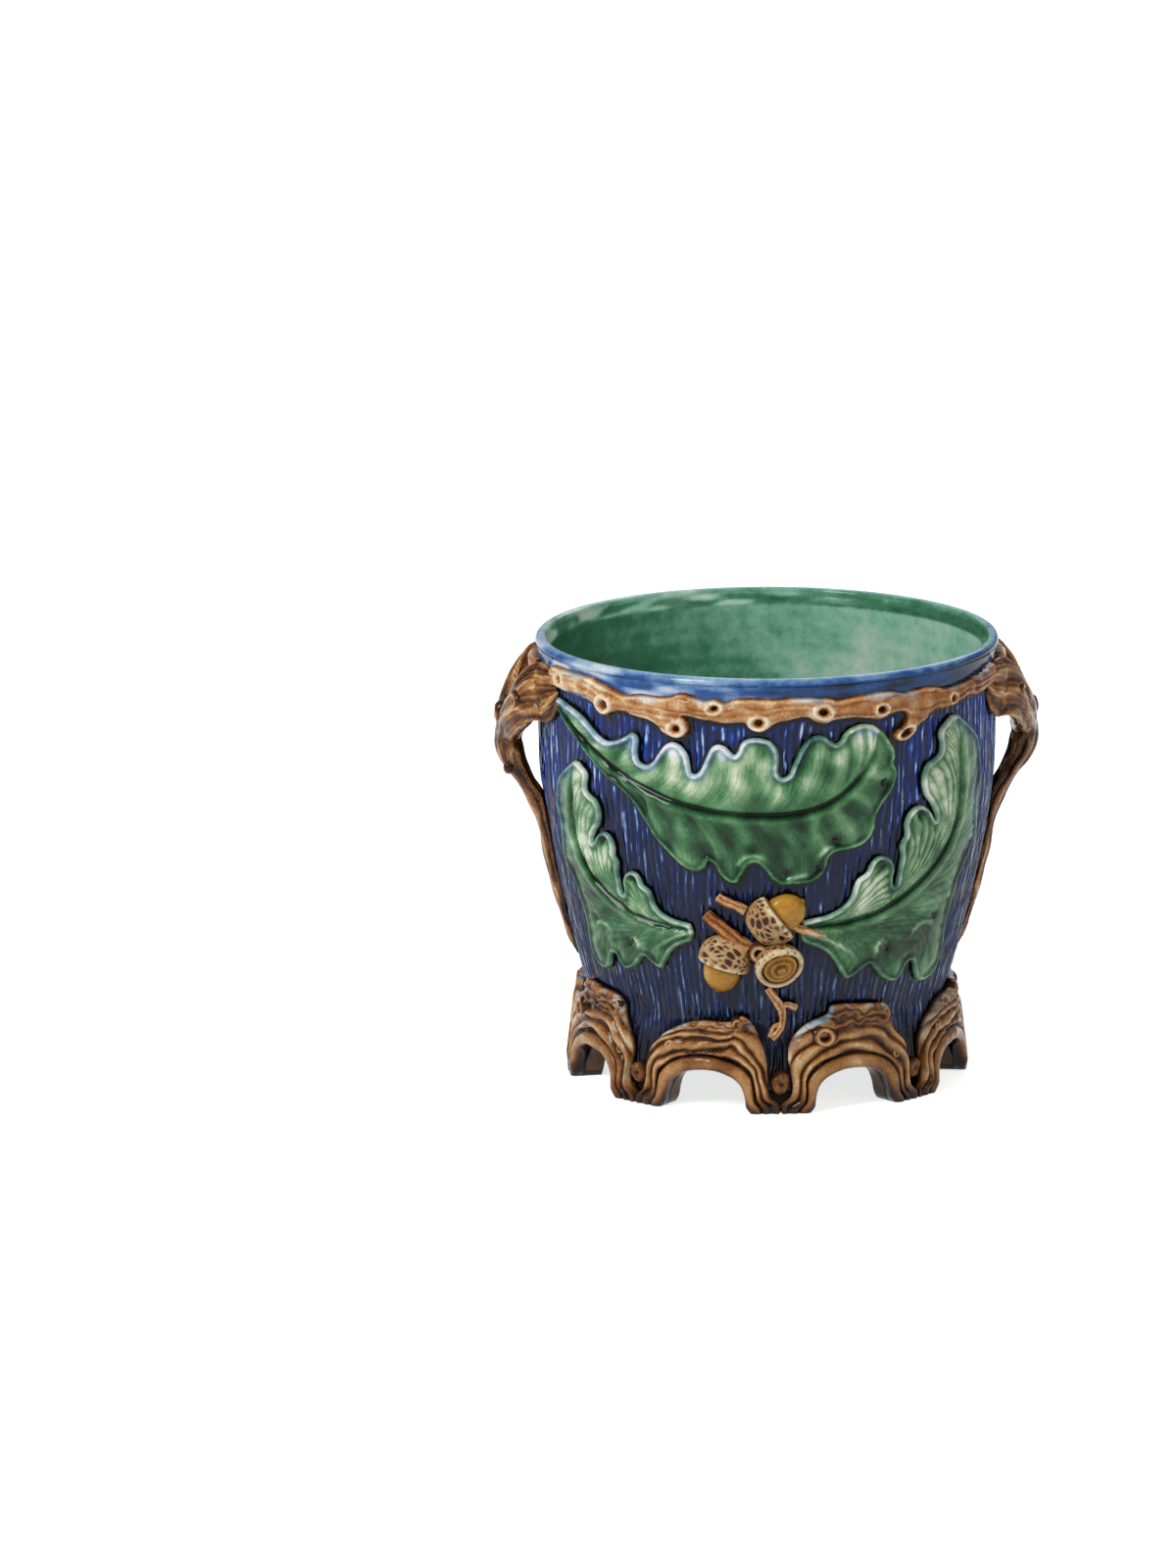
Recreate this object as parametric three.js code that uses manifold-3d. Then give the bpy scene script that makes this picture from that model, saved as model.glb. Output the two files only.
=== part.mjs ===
// Round glazed jardiniere: a tapering pot on an eight-arched root foot, two branch handles,
// and oak leaves, acorns and a knotty twig band laid on the wall. Millimetres, +Z up, the front faces -Y.
import * as THREE from "three";
import { mergeVertices } from "three/addons/utils/BufferGeometryUtils.js";
import Module from "manifold-3d";

const wasm = await Module();
wasm.setup();
const { Manifold, Mesh } = wasm;

// ---- driving sizes ----
const height = 270; // table to lip
const rimRadius = 140; // outside of the lip
const waistRadius = 109.4; // outside, at the seam between the pot and its foot
const footHeight = 55; // table to that seam
const footSpread = 6.6; // how much wider the foot stands at the table than at the seam
const wallThickness = 7.5;
const floorThickness = 7;
const floorHeight = 44; // underside of the floor
const footThickness = 13; // foot wall at the table, without the roots laid on it
const archCount = 8; // openings in the foot, with a foot between each two
const archWidth = 54;
const archHeight = 24.8;
const rootLift = 8; // how far the roots stand off the foot
const leafLift = 6.8;
const bandLift = 6;
const handleReach = 20.3; // wall to the middle of the handle's outermost point
const acornDepth = 0.7; // acorns are flattened towards the wall by this much
const slip = 0.4; // joint of slip between two clay pieces
const facets = 56; // sides of the turned pieces, seven to each arch

// ---- the wall, and the flat drawing that is wrapped on it ----
// The drawing runs x to the right of the middle of a face and y up from the table.
const DRAWN_HEIGHT = 270;
const DRAWN_RADIUS = 128;
const lift = height / DRAWN_HEIGHT;
const shoulderHeight = height * 0.722;
const shoulderRadius = rimRadius - 2.5;

// Outside radius of the pot and its foot at a height.
function wallRadius(z) {
  if (z < footHeight) return waistRadius + (1 - z / footHeight) * footSpread;
  if (z > shoulderHeight)
    return shoulderRadius + (1.5 * (z - shoulderHeight)) / (height - shoulderHeight);
  const f = (z - footHeight) / (shoulderHeight - footHeight);
  return waistRadius + (shoulderRadius - waistRadius) * (1 - (1 - f) ** 1.42);
}

// ---- geometry and solids ----
function geometryOf(positions, triangles) {
  const g = new THREE.BufferGeometry();
  g.setAttribute("position", new THREE.Float32BufferAttribute(positions, 3));
  return g.setIndex(triangles);
}

// A closed geometry as a solid to join and cut, with its faces turned outward.
function solidOf(geometry) {
  const bare = new THREE.BufferGeometry();
  bare.setAttribute("position", geometry.toNonIndexed().getAttribute("position"));
  const merged = mergeVertices(bare, 1e-3);
  const t = [...merged.index.array];
  const corner = (i) => [0, 1, 2].map((k) => t[i - (i % 3) + k]);
  const kept = t.filter((_, i) => new Set(corner(i)).size === 3);
  const vertProperties = new Float32Array(merged.attributes.position.array);
  const make = (triVerts) =>
    new Manifold(new Mesh({ numProp: 3, vertProperties, triVerts: new Uint32Array(triVerts) }));
  const made = make(kept);
  return made.volume() > 0 ? made : make(kept.map((_, i) => kept[i - 2 * (i % 3) + 2]));
}

// A geometry drawn flat (x, y, distance off the wall) is bent round the pot, `turn` round from the front.
function onWall(flat, turn) {
  const bent = flat.clone();
  const p = bent.getAttribute("position");
  for (let i = 0; i < p.count; i++) {
    const a = p.getX(i) / DRAWN_RADIUS + turn;
    const z = p.getY(i) * lift;
    const r = wallRadius(z) + p.getZ(i);
    p.setXYZ(i, r * Math.sin(a), -r * Math.cos(a), z);
  }
  return solidOf(bent);
}

// A closed (r, z) outline turned about the pot's axis.
function turned(outline) {
  const points = outline.map(([r, z]) => new THREE.Vector2(r, z));
  return solidOf(new THREE.LatheGeometry(points, facets).rotateX(Math.PI / 2));
}

// A slab on the drawing. at(s, t) gives its (x, y); front(s, t) and back are distances off the wall.
// Rows run along s; the front may have more columns across t than the back.
function slab(rows, frontColumns, backColumns, at, front, back = slip + 0.3) {
  const v = [];
  const f = [];
  const add = (s, t, l) => v.push(...at(s, t), l) / 3 - 1;
  const face = rows.map((s) => frontColumns.map((t) => add(s, t, front(s, t))));
  const rear = rows.map((s) => backColumns.map((t) => add(s, t, back)));
  const quad = (a, b, c, d) => f.push(a, b, c, a, c, d);
  for (let i = 0; i + 1 < rows.length; i++) {
    for (let j = 0; j + 1 < frontColumns.length; j++)
      quad(face[i][j], face[i + 1][j], face[i + 1][j + 1], face[i][j + 1]);
    for (let j = 0; j + 1 < backColumns.length; j++)
      quad(rear[i][j], rear[i][j + 1], rear[i + 1][j + 1], rear[i + 1][j]);
    quad(face[i][0], rear[i][0], rear[i + 1][0], face[i + 1][0]);
    quad(face[i].at(-1), face[i + 1].at(-1), rear[i + 1].at(-1), rear[i].at(-1));
  }
  // Each end is sewn shut between its front and back rows.
  for (const [i, flip] of [[0, false], [rows.length - 1, true]]) {
    let a = 0, b = 0;
    while (a + 1 < frontColumns.length || b + 1 < backColumns.length) {
      const step = b + 1 >= backColumns.length || frontColumns[a + 1] <= backColumns[b + 1];
      const t = step ? [face[i][a], face[i][a + 1], rear[i][b]] : [face[i][a], rear[i][b + 1], rear[i][b]];
      f.push(...(flip ? t.reverse() : t));
      if (step) a++;
      else b++;
    }
  }
  return geometryOf(v, f);
}

// A tapering branch on the drawing, through [x, y, off the wall, half width, half depth].
function branch(path, sides = 8) {
  const v = [];
  const f = [];
  const points = path.map((p) => new THREE.Vector3(p[0], p[1], p[2]));
  const out = new THREE.Vector3(0, 0, 1);
  points.forEach((p, i) => {
    const run = points[Math.min(i + 1, points.length - 1)].clone().sub(points[Math.max(i - 1, 0)]).normalize();
    const side = run.clone().cross(out).normalize();
    const up = side.clone().cross(run);
    for (let k = 0; k < sides; k++) {
      const a = ((k + 0.5) / sides) * 2 * Math.PI;
      const q = p.clone().addScaledVector(side, path[i][3] * Math.cos(a));
      q.addScaledVector(up, path[i][4] * Math.sin(a));
      v.push(q.x, q.y, q.z);
    }
    for (let k = 0; i && k < sides; k++) {
      const [a, b] = [(i - 1) * sides + k, (i - 1) * sides + ((k + 1) % sides)];
      f.push(a, b, b + sides, a, b + sides, a + sides);
    }
  });
  const last = (points.length - 1) * sides;
  for (let k = 1; k + 1 < sides; k++) f.push(0, k + 1, k, last, last + k, last + k + 1);
  return geometryOf(v, f);
}

const range = (n, from = 0, to = 1) => Array.from({ length: n + 1 }, (_, i) => from + ((to - from) * i) / n);
const spline = (points) => new THREE.SplineCurve(points.map((p) => new THREE.Vector2(p[0], p[1])));
// Straight-line reading of a [[at, value], ...] table.
function read(table, x) {
  const i = Math.max(1, table.findIndex((p) => p[0] >= x));
  const [a, b] = [table[i - 1], table[i]];
  return a[1] + ((b[1] - a[1]) * Math.min(Math.max(x - a[0], 0), b[0] - a[0])) / (b[0] - a[0]);
}

// ---- glazes ----
const glaze = (color, roughness = 0.16) => new THREE.MeshStandardMaterial({ color, roughness, metalness: 0 });
const COBALT = glaze(0x1d2f6e);
const LEAF_GREEN = glaze(0x4f8a66);
const BARK_BROWN = glaze(0x6f4426);
const BAND_HONEY = glaze(0xa9703a);
const ACORN_OCHRE = glaze(0xb28a35);
const CUP_BROWN = glaze(0x4a2b1d);

const jardiniere = new THREE.Group();
function piece(name, made, material) {
  const m = made.getMesh();
  const g = new THREE.BufferGeometry();
  const v = new Float32Array(m.numVert * 3);
  for (let i = 0; i < m.numVert; i++) v.set(m.vertProperties.subarray(i * m.numProp, i * m.numProp + 3), i * 3);
  g.setAttribute("position", new THREE.BufferAttribute(v, 3));
  g.setIndex(new THREE.BufferAttribute(m.triVerts, 1));
  g.computeVertexNormals();
  const mesh = new THREE.Mesh(g, material);
  mesh.name = name;
  jardiniere.add(mesh);
}

// ---- pot: thrown wall with a rolled lip, floor, and a spigot that drops into the foot ----
const spigotRadius = waistRadius - 6.5;
const wallRings = [0.25, 0.5, 0.75, 1].map((f) => footHeight + (shoulderHeight - footHeight) * f);
const outerWall = [...wallRings, height - 6.5].map((z) => [wallRadius(z), z]);
const seam = footHeight + slip;
const inside = (z) => [wallRadius(z) - wallThickness, z];
const floorTop = floorHeight + floorThickness;
const lipInner = rimRadius - 0.93 * wallThickness;
piece("pot_body", turned([
  [0, floorHeight], [spigotRadius, floorHeight], [spigotRadius, seam], [waistRadius, seam],
  ...outerWall,
  [rimRadius, height - 4], [rimRadius - 1, height - 1.2], [(rimRadius + lipInner) / 2, height],
  [lipInner + 0.6, height - 1.6], [lipInner, height - 6],
  inside(shoulderHeight), inside(wallRings[1]), inside(wallRings[0] - 4),
  [waistRadius - wallThickness - 1, floorTop + 7], [waistRadius - wallThickness - 9, floorTop], [0, floorTop],
]), COBALT);

// The pot's outline pushed out by the slip joint, for seating branches and acorns against it.
const clear = [[0, -5], [wallRadius(-5), -5], [wallRadius(0), 0], [waistRadius, footHeight], ...outerWall];
const keepOut = turned([
  ...clear.map(([r, z]) => [r ? r + slip : 0, z]), [wallRadius(height) + slip, height], [0, height],
]);
const seated = (flats, turn) => flats.map((g) => onWall(g, turn)).reduce((a, b) => a.add(b)).subtract(keepOut);

// ---- foot: a ring with eight arched openings, rebated for the pot's spigot ----
const arch = spline([
  [-1.13, 0], [-1.03, 0.14], [-1, 0.36], [-0.9, 0.64], [-0.68, 0.84], [-0.36, 0.96], [0, 1],
  [0.36, 0.96], [0.68, 0.84], [0.9, 0.64], [1, 0.36], [1.03, 0.14], [1.13, 0],
].map(([x, y]) => [(x * archWidth) / 2, y * archHeight]));
const opening = slab(range(10), [0, 1], [0, 1], (s, t) => {
  const p = arch.getPointAt(s);
  return [p.x, -4 + (p.y + 4) * t];
}, () => 14, -30);
const footInner = waistRadius + footSpread - footThickness;
let ring = turned([
  [footInner, 0], [wallRadius(0), 0], [waistRadius, footHeight],
  [spigotRadius + slip, footHeight], [spigotRadius + slip, floorHeight - slip],
  [spigotRadius - 7, floorHeight - slip], [spigotRadius - 6, floorHeight - 8], [footInner, 0],
]);
const archTurn = (k) => ((k + 0.5) * 2 * Math.PI) / archCount;
for (let k = 0; k < archCount; k++) ring = ring.subtract(onWall(opening, archTurn(k)));
piece("foot_ring", ring, BARK_BROWN);

// ---- roots over each arch: tall ones end in a sawn stump, low ones in a small snag ----
const half = (Math.PI * DRAWN_RADIUS) / archCount; // half the pitch of the feet on the drawing
const footSide = (side) => [[half - 0.36, 0], [half - 0.6, 5], [half - 6.8, 10], [half - 8, 17]]
  .map(([x, y]) => [x * side, y]);
const tallRoot = spline([
  ...footSide(-1), [-43.4, 25], [-45, 33], [-43, 43], [-33, 52.5], [-18, 58], [-14, 64],
  [8, 63], [28, 60], [33.5, 48], [40, 38], [43.6, 29], ...footSide(1).reverse(),
]);
const lowRoot = spline([
  ...footSide(-1), [-43, 25], [-41, 34], [-33, 43], [-20, 50], [-5, 54], [12, 54],
  [21, 55.5], [24, 58.5], [29, 56], [35, 48], [40.5, 34], ...footSide(1).reverse(),
]);
const rootRows = [0, 0.03, 0.07, 0.13, 0.22, 0.34, 0.45, 0.55, 0.66, 0.78, 0.87, 0.93, 0.97, 1];
const strands = [[0, 0.34], [0.14, 0.84], [0.36, 1], [0.62, 0.78], [0.84, 0.9], [1, 0.36]];
for (let k = 0; k < archCount; k++) {
  const outer = k % 2 ? lowRoot : tallRoot;
  const root = slab(rootRows, strands.map((p) => p[0]), range(2), (s, t) => {
    const [a, b] = [arch.getPointAt(s), outer.getPointAt(s)];
    return [a.x + (b.x - a.x) * t, a.y + (b.y - a.y) * t];
  }, (s, t) => rootLift * read(strands, t) * Math.min(1, 0.72 + 4 * Math.min(s, 1 - s)));
  piece("root_arch_" + (k + 1), onWall(root, archTurn(k)), BARK_BROWN);
}

// ---- a knot in the hollow over each foot ----
const knot = (x, y, r, l) => {
  const dome = [[0, slip], [r, slip], [r * 0.84, slip + l * 0.75], [0, slip + l]];
  const points = dome.map(([a, b]) => new THREE.Vector2(a, b));
  return new THREE.LatheGeometry(points, 8).rotateX(Math.PI / 2).translate(x, y, 0);
};
for (let k = 0; k < archCount; k++)
  piece("foot_knot_" + (k + 1), onWall(knot(0, 18.5, 6.2, 6.5), (k * 2 * Math.PI) / archCount), BARK_BROWN);

// ---- twig band under the lip, with its knots and stubs ----
const bandLine = [
  [-157, 256], [-140, 256], [-118, 254.6], [-92, 250.6], [-60, 252.4], [-30, 251.8], [0, 251.8], [30, 250.8],
  [60, 251.6], [92, 250.4], [107, 249.4], [130, 250.8], [157, 254],
];
// Ringed knots where side twigs were cut away: [x, y, outer radius].
const bandKnots = [
  [-142, 256, 4.6], [-104.6, 248.6, 5.4], [-37, 252.4, 5.4], [-13.5, 245, 6], [21, 250.6, 6],
  [54.6, 249.4, 4.8], [104, 248.8, 4],
];
const bandHalf = 5.9;
const bandStep = 18; // between its plain cross-sections
const knotRise = [[0, -1.6], [0.6, 2.4], [1, 1], [1.5, 0]]; // above the band, by distance over the radius
function band(from, to, knots) {
  const near = (x) => knots.find((k) => Math.abs(x - k[0]) <= k[2]);
  const atKnots = knots.flatMap(([x, , r]) => [x - r - 3, x - 0.6 * r, x, x + 0.6 * r, x + r + 3]);
  const even = range(Math.ceil((to - from) / bandStep), from, to);
  const plain = even.filter((x) => atKnots.every((k) => Math.abs(x - k) > 4));
  const rows = [...new Set([from, ...plain, ...atKnots, to])].sort((a, b) => a - b);
  // Round a knot the edge swings out to its ring, and the ring stands proud of the hole in its middle.
  const at = (x, t) => {
    const middle = read(bandLine, x);
    const k = near(x);
    const [low, high] = k ? [Math.min(middle - bandHalf, k[1] - k[2]), Math.max(middle + bandHalf, k[1] + k[2])]
      : [middle - bandHalf, middle + bandHalf];
    return [x, low + (high - low) * t];
  };
  const front = (x, t) => {
    const k = near(x);
    if (!k) return bandLift * (t === 0 || t === 1 ? 0.36 : 1);
    const gap = Math.hypot(x - k[0], at(x, t)[1] - k[1]) / k[2];
    return bandLift * (t === 0 || t === 1 ? 0.5 : 1) + read(knotRise, gap);
  };
  return slab(rows, [0, 0.25, 0.5, 0.75, 1], [0, 1], at, front);
}
const hangingStub = branch([[-84, 250, 2.5, 4.4, 3], [-72, 245.6, 3.4, 4.6, 3.6], [-56, 239, 3.6, 5.6, 4]]);
const hookStub = branch([
  [87, 251, 2.5, 4, 3], [79.5, 246, 3.5, 4.2, 3.4], [75.5, 239.5, 3.8, 4.2, 3.4], [71, 230.5, 3.8, 5, 3.4],
]);

// ---- handles: two arms spring from the band, meet in a knuckle and run down the wall as a tail ----
const arm = (side) => branch([
  [36, 243, -0.06, 19, 6.5], [31, 241, 0.34, 17.5, 6.5], [22, 234, 0.62, 14.5, 7], [11, 223, 0.82, 12, 7.8],
  [0, 212, 0.9, 10.5, 8.2],
].map(([x, y, l, w, d]) => [x * side, y, l * handleReach, w, d]));
const tail = branch([
  [0, 217, 0.88, 9, 8], [0, 204, 0.91, 9.4, 8.2], [0, 193, 0.78, 8.6, 7], [0, 183, 0.52, 8.6, 6],
  [0, 172, 0.27, 9, 5.6], [1, 155, 0.12, 9, 4.8], [1, 130, 0.1, 8, 4.2], [-1, 105, 0.08, 6, 3.6],
  [0, 82, 0.05, 3.4, 3],
].map(([x, y, l, w, d]) => [x, y, l * handleReach, w, d]));
for (const [name, turn] of [["right", Math.PI / 2], ["left", -Math.PI / 2]]) {
  piece("handle_" + name, seated([arm(1), arm(-1), tail], turn), BARK_BROWN);
  piece("twig_band_" + name, onWall(band(-16, 16, []), turn), BAND_HONEY);
}

// ---- leaves: each edge row is [x, y, how far along the midrib its vein starts] ----
const broadMidrib = [
  [-150, 240], [-120, 222], [-84, 203], [-46, 191], [-5, 188], [24, 194], [44, 212], [54, 236],
];
const broadUpper = [
  [-150, 243, 0], [-138, 241, 0.05], [-124, 236.5, 0.1], [-113, 228.5, 0.145], [-104.7, 224.8, 0.19],
  [-97, 226.6, 0.215], [-91, 229.7, 0.235], [-86.5, 232.6, 0.258], [-83, 229.6, 0.268], [-83.6, 222, 0.28],
  [-82.5, 216, 0.29], [-78, 213.9, 0.305], [-73.5, 216.2, 0.325], [-69.7, 222, 0.345],
  [-65.5, 227.6, 0.365], [-61, 229.6, 0.385], [-56.5, 227.7, 0.405], [-52.8, 222.5, 0.425],
  [-51.6, 216, 0.437], [-50.5, 211.8, 0.445], [-47.3, 211.5, 0.455], [-44.3, 215.5, 0.467],
  [-42, 221.5, 0.478], [-39.3, 227.4, 0.49], [-36, 229.8, 0.505], [-32, 229, 0.52], [-29, 226, 0.533],
  [-26.4, 224.1, 0.545], [-24.3, 226.5, 0.555], [-22.6, 231.2, 0.565], [-19, 234, 0.58],
  [-13, 234.5, 0.605], [-7, 232.4, 0.628], [-3.7, 228, 0.642], [-2.5, 222, 0.65], [-3.2, 214.5, 0.656],
  [-0.6, 210.5, 0.664], [3.2, 212.4, 0.674], [5.7, 218.5, 0.684], [8.4, 225.3, 0.698], [12.4, 232, 0.716],
  [17, 235.2, 0.735], [22, 234.9, 0.755], [26, 231.6, 0.773], [29.2, 230, 0.788], [31.9, 232, 0.803],
  [34, 236, 0.82], [38, 239, 0.85], [44, 240.6, 0.9], [51, 239.2, 1],
];
const broadLower = [
  [-150, 237, 0], [-126, 219, 0.11], [-108, 205, 0.18], [-94, 197, 0.235], [-86, 190, 0.265],
  [-80, 181, 0.29], [-74, 171, 0.315], [-66, 162, 0.345], [-58, 154, 0.375], [-50, 151, 0.4],
  [-44.5, 154, 0.42], [-42, 158.5, 0.43], [-38, 155.5, 0.452], [-35.5, 150, 0.48], [-31, 145.6, 0.495],
  [-26.5, 145, 0.511], [-23, 150, 0.52], [-20, 155.5, 0.535], [-16.5, 158, 0.55], [-12.5, 156.5, 0.565],
  [-8.5, 151.5, 0.583], [-4.5, 146.2, 0.6], [0, 143.8, 0.62], [6, 144, 0.642], [12, 144.2, 0.662],
  [18, 145.8, 0.685], [22.5, 149.5, 0.705], [25, 154.5, 0.722], [26, 160, 0.738], [30, 163.6, 0.755],
  [37, 164.6, 0.78], [44, 166.2, 0.805], [49.5, 170.2, 0.828], [52.3, 176.5, 0.848], [52.6, 183, 0.866],
  [56.5, 190.8, 0.888], [62, 198, 0.912], [65, 204.8, 0.93], [65.5, 210, 0.945], [63.2, 215.3, 0.957],
  [64.2, 219.8, 0.967], [62.6, 225.8, 0.978], [57, 234.5, 1],
];
const uprightMidrib = [
  [13, 117], [37, 118], [62, 124], [80, 133], [95, 144], [106, 157], [112, 172], [114, 190], [113, 210],
  [109, 235],
];
const uprightLeft = [
  [13, 120, 0], [20, 121.4, 0.035], [26, 122.4, 0.075], [32, 124.8, 0.11], [37.5, 128.3, 0.135],
  [41.5, 133.5, 0.153], [42.8, 139.5, 0.168], [45, 144.6, 0.184], [50, 148.2, 0.202], [51.8, 152.6, 0.216],
  [54.5, 156.3, 0.23], [59.5, 157.7, 0.25], [65, 154.8, 0.272], [67.7, 149.5, 0.288], [67.5, 143.5, 0.303],
  [68.5, 138, 0.325], [70.6, 139, 0.35], [71.6, 147, 0.375], [72.2, 156, 0.4], [71, 163, 0.422],
  [73.6, 169, 0.44], [72.8, 175.5, 0.468], [74.4, 181.3, 0.487], [78.5, 185.2, 0.51], [84, 185.5, 0.535],
  [89.5, 182, 0.558], [93, 176.5, 0.575], [95, 175, 0.588], [94.6, 179.5, 0.6], [90.5, 186.5, 0.622],
  [86, 192, 0.645], [83.8, 199, 0.675], [84.6, 205.4, 0.71], [87.5, 210.8, 0.745], [92, 212.7, 0.775],
  [96.6, 216.2, 0.805], [97.3, 222, 0.84], [96, 227, 0.88], [97.5, 231.4, 0.92], [106, 237, 1],
];
const uprightRight = [
  [11, 113, 0], [12.5, 108, 0.02], [16, 105.6, 0.04], [21.5, 103.4, 0.065], [28, 99.7, 0.09],
  [34, 93.6, 0.12], [38.8, 86.3, 0.15], [43, 81.2, 0.175], [48, 82.2, 0.2], [54, 86.6, 0.225],
  [58.8, 88.8, 0.245], [63, 85.4, 0.262], [68.7, 79.9, 0.283], [76, 75.8, 0.31], [83, 75.2, 0.335],
  [87, 79.5, 0.355], [89, 84.6, 0.372], [92.5, 86.4, 0.388], [96.4, 84, 0.403], [99.4, 77.6, 0.42],
  [104.5, 72, 0.44], [111, 70.4, 0.465], [118, 72.5, 0.49], [123.5, 79, 0.515], [124.5, 90, 0.545],
  [122, 101, 0.57], [122.5, 116, 0.605], [125.5, 130, 0.645], [131, 143, 0.685], [138.5, 153.5, 0.725],
  [139.5, 162, 0.755], [136.5, 172, 0.785], [135, 183, 0.82], [137.5, 193, 0.85], [137.8, 202, 0.88],
  [135, 213, 0.91], [130.5, 222, 0.945], [112, 237, 1],
];
const bladeShape = [[0, 0.36], [0.26, 1], [1, 0.72]];
const move = (rows, scale, mirror, dx, dy) =>
  rows.map(([x, y, ...rest]) => [dx + (x - 13) * scale * mirror, dy + (y - 117) * scale, ...rest]);

function leaf(midrib, upper, lower) {
  const rib = spline(midrib);
  const edge = (rows) => {
    const line = spline(rows);
    const table = rows.map((p, i) => [p[2], i / (rows.length - 1)]);
    return (s) => line.getPoint(read(table, s));
  };
  const edges = [edge(upper), edge(lower)];
  const spots = [...upper, ...lower].map((p) => p[2]).sort((a, b) => a - b);
  const rows = [0];
  for (const s of spots) if (s - rows.at(-1) > 0.019 && s < 0.985) rows.push(s);
  rows.push(1);
  const at = (s, t) => {
    const m = rib.getPointAt(s);
    const e = edges[t < 0.5 ? 0 : 1](s);
    const w = Math.abs(2 * t - 1);
    return [m.x + (e.x - m.x) * w, m.y + (e.y - m.y) * w];
  };
  const tips = (s) => Math.min(1, 0.5 + 6 * s, 0.5 + 9 * (1 - s));
  const across = [0, 0.13, 0.5, 0.87, 1];
  const front = (s, t) => leafLift * tips(s) * read(bladeShape, 1 - Math.abs(2 * t - 1));
  return slab(rows, across, range(3), at, front);
}
const broadLeaf = leaf(broadMidrib, broadUpper, broadLower);
const uprightLeaf = leaf(uprightMidrib, uprightLeft, uprightRight);
const lowOutline = [uprightMidrib, uprightLeft, uprightRight].map((rows) => move(rows, 0.78, -1, -56, 114));
const lowLeaf = leaf(...lowOutline);

// ---- acorns: [radius, along the axis] from the cup's base ----
const cupOutline = [
  [0, -3], [7, -1.8], [12, 2.4], [14.2, 8], [14.4, 14], [13, 16], [11, 16], [10.6, 13.6], [0, 13.2],
];
const nutOutline = [[0, 13.6], [10, 14], [10.4, 18], [9.6, 24], [7, 29], [2.4, 32.4], [0, 34]];
const openCup = [[0, 0.7], [8.5, 0.7], [12.4, 4], [12.8, 8], [11.6, 10], [10.2, 9.4], [9.8, 6.4], [0, 6.2]];
const scar = [[0, 6.7], [9.2, 6.9], [9.4, 9.6], [6.4, 11.4], [3, 11.4], [0, 12.2]];
// An acorn lying on the wall: its cup's mouth at (x, y), pointing `aim` degrees round from the right.
function lying(outline, x, y, aim) {
  const points = outline.map(([r, h]) => new THREE.Vector2(r, h - 16));
  const g = new THREE.LatheGeometry(points, 10).rotateY(Math.PI / 10).rotateZ(((aim - 90) * Math.PI) / 180);
  return g.scale(1, 1, acornDepth).translate(x, y, 2.6);
}
function facing(outline, x, y) {
  const points = outline.map(([r, h]) => new THREE.Vector2(r, h));
  return new THREE.LatheGeometry(points, 12).rotateX(Math.PI / 2).scale(1, 0.9, 1).translate(x, y, 0);
}

// ---- everything laid on the wall comes twice: on the front and, turned half way round, on the back ----
const cutTwigs = {
  a: [[-37, 136.5, 2, 2.4, 2.4], [-29, 131.5, 3.2, 2.8, 2.6], [-21.5, 126.5, 3.4, 3, 2.8]],
  b: [[-43, 124.5, 2, 2.4, 2.4], [-33, 116, 3.2, 2.8, 2.6], [-22.5, 107.5, 3.4, 3, 2.8]],
};
const hangingTwig = [
  [
    [-10, 74.5, 2.6, 2, 2], [-4, 69, 3.2, 2.4, 2.2], [0, 64, 3.4, 2.6, 2.4], [2.4, 57, 3.2, 2.2, 2.2],
    [-2, 50.5, 2.8, 2.6, 2.2],
  ],
  [[0, 64.5, 3.2, 2, 2], [5, 66.5, 3, 1.9, 1.9], [10, 64.5, 2.6, 2.1, 1.8]],
];
for (const [face, turn] of [["front", 0], ["back", Math.PI]]) {
  const main = band(-156, 156, bandKnots);
  piece("twig_band_" + face, onWall(main, turn).add(seated([hangingStub, hookStub], turn)), BAND_HONEY);
  piece("leaf_broad_" + face, onWall(broadLeaf, turn), LEAF_GREEN);
  piece("leaf_upright_" + face, onWall(uprightLeaf, turn), LEAF_GREEN);
  piece("leaf_low_" + face, onWall(lowLeaf, turn), LEAF_GREEN);
  piece("acorn_cup_a_" + face, seated([lying(cupOutline, -1, 124, 37)], turn), CUP_BROWN);
  piece("acorn_nut_a_" + face, seated([lying(nutOutline, -1, 124, 37)], turn), ACORN_OCHRE);
  piece("acorn_cup_b_" + face, seated([lying(cupOutline, -39, 89.5, -107)], turn), CUP_BROWN);
  piece("acorn_nut_b_" + face, seated([lying(nutOutline, -39, 89.5, -107)], turn), ACORN_OCHRE);
  piece("acorn_cup_c_" + face, onWall(facing(openCup, -1, 89), turn), CUP_BROWN);
  piece("acorn_nut_c_" + face, onWall(facing(scar, -1, 89), turn), ACORN_OCHRE);
  piece("acorn_knot_" + face, onWall(knot(-16.5, 102, 3.4, 4.4), turn), CUP_BROWN);
  piece("twig_cut_a_" + face, seated([branch(cutTwigs.a, 7)], turn), BAND_HONEY);
  piece("twig_cut_b_" + face, seated([branch(cutTwigs.b, 7)], turn), BAND_HONEY);
  piece("twig_hanging_" + face, seated(hangingTwig.map((path) => branch(path, 7)), turn), BAND_HONEY);
}

export default jardiniere;
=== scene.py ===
# %% [markdown]
# # A glazed jardiniere with oak leaves
#
# The pot is thrown earthenware on a fired-on foot of roots. Leaves, acorns, a knotty twig band and two
# branch handles were pressed or rolled from clay and stuck to the wall with slip, and coloured lead
# glazes run over it all: they thin to pale on the crests and pool nearly black in the hollows. Every
# piece below is made on a flat drawing in millimetres, x round the wall and y up it, with a height off
# the wall, and is bent round at the end. A second way would be to sculpt by hand. A drawing with heights
# was chosen because it can be measured.

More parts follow.
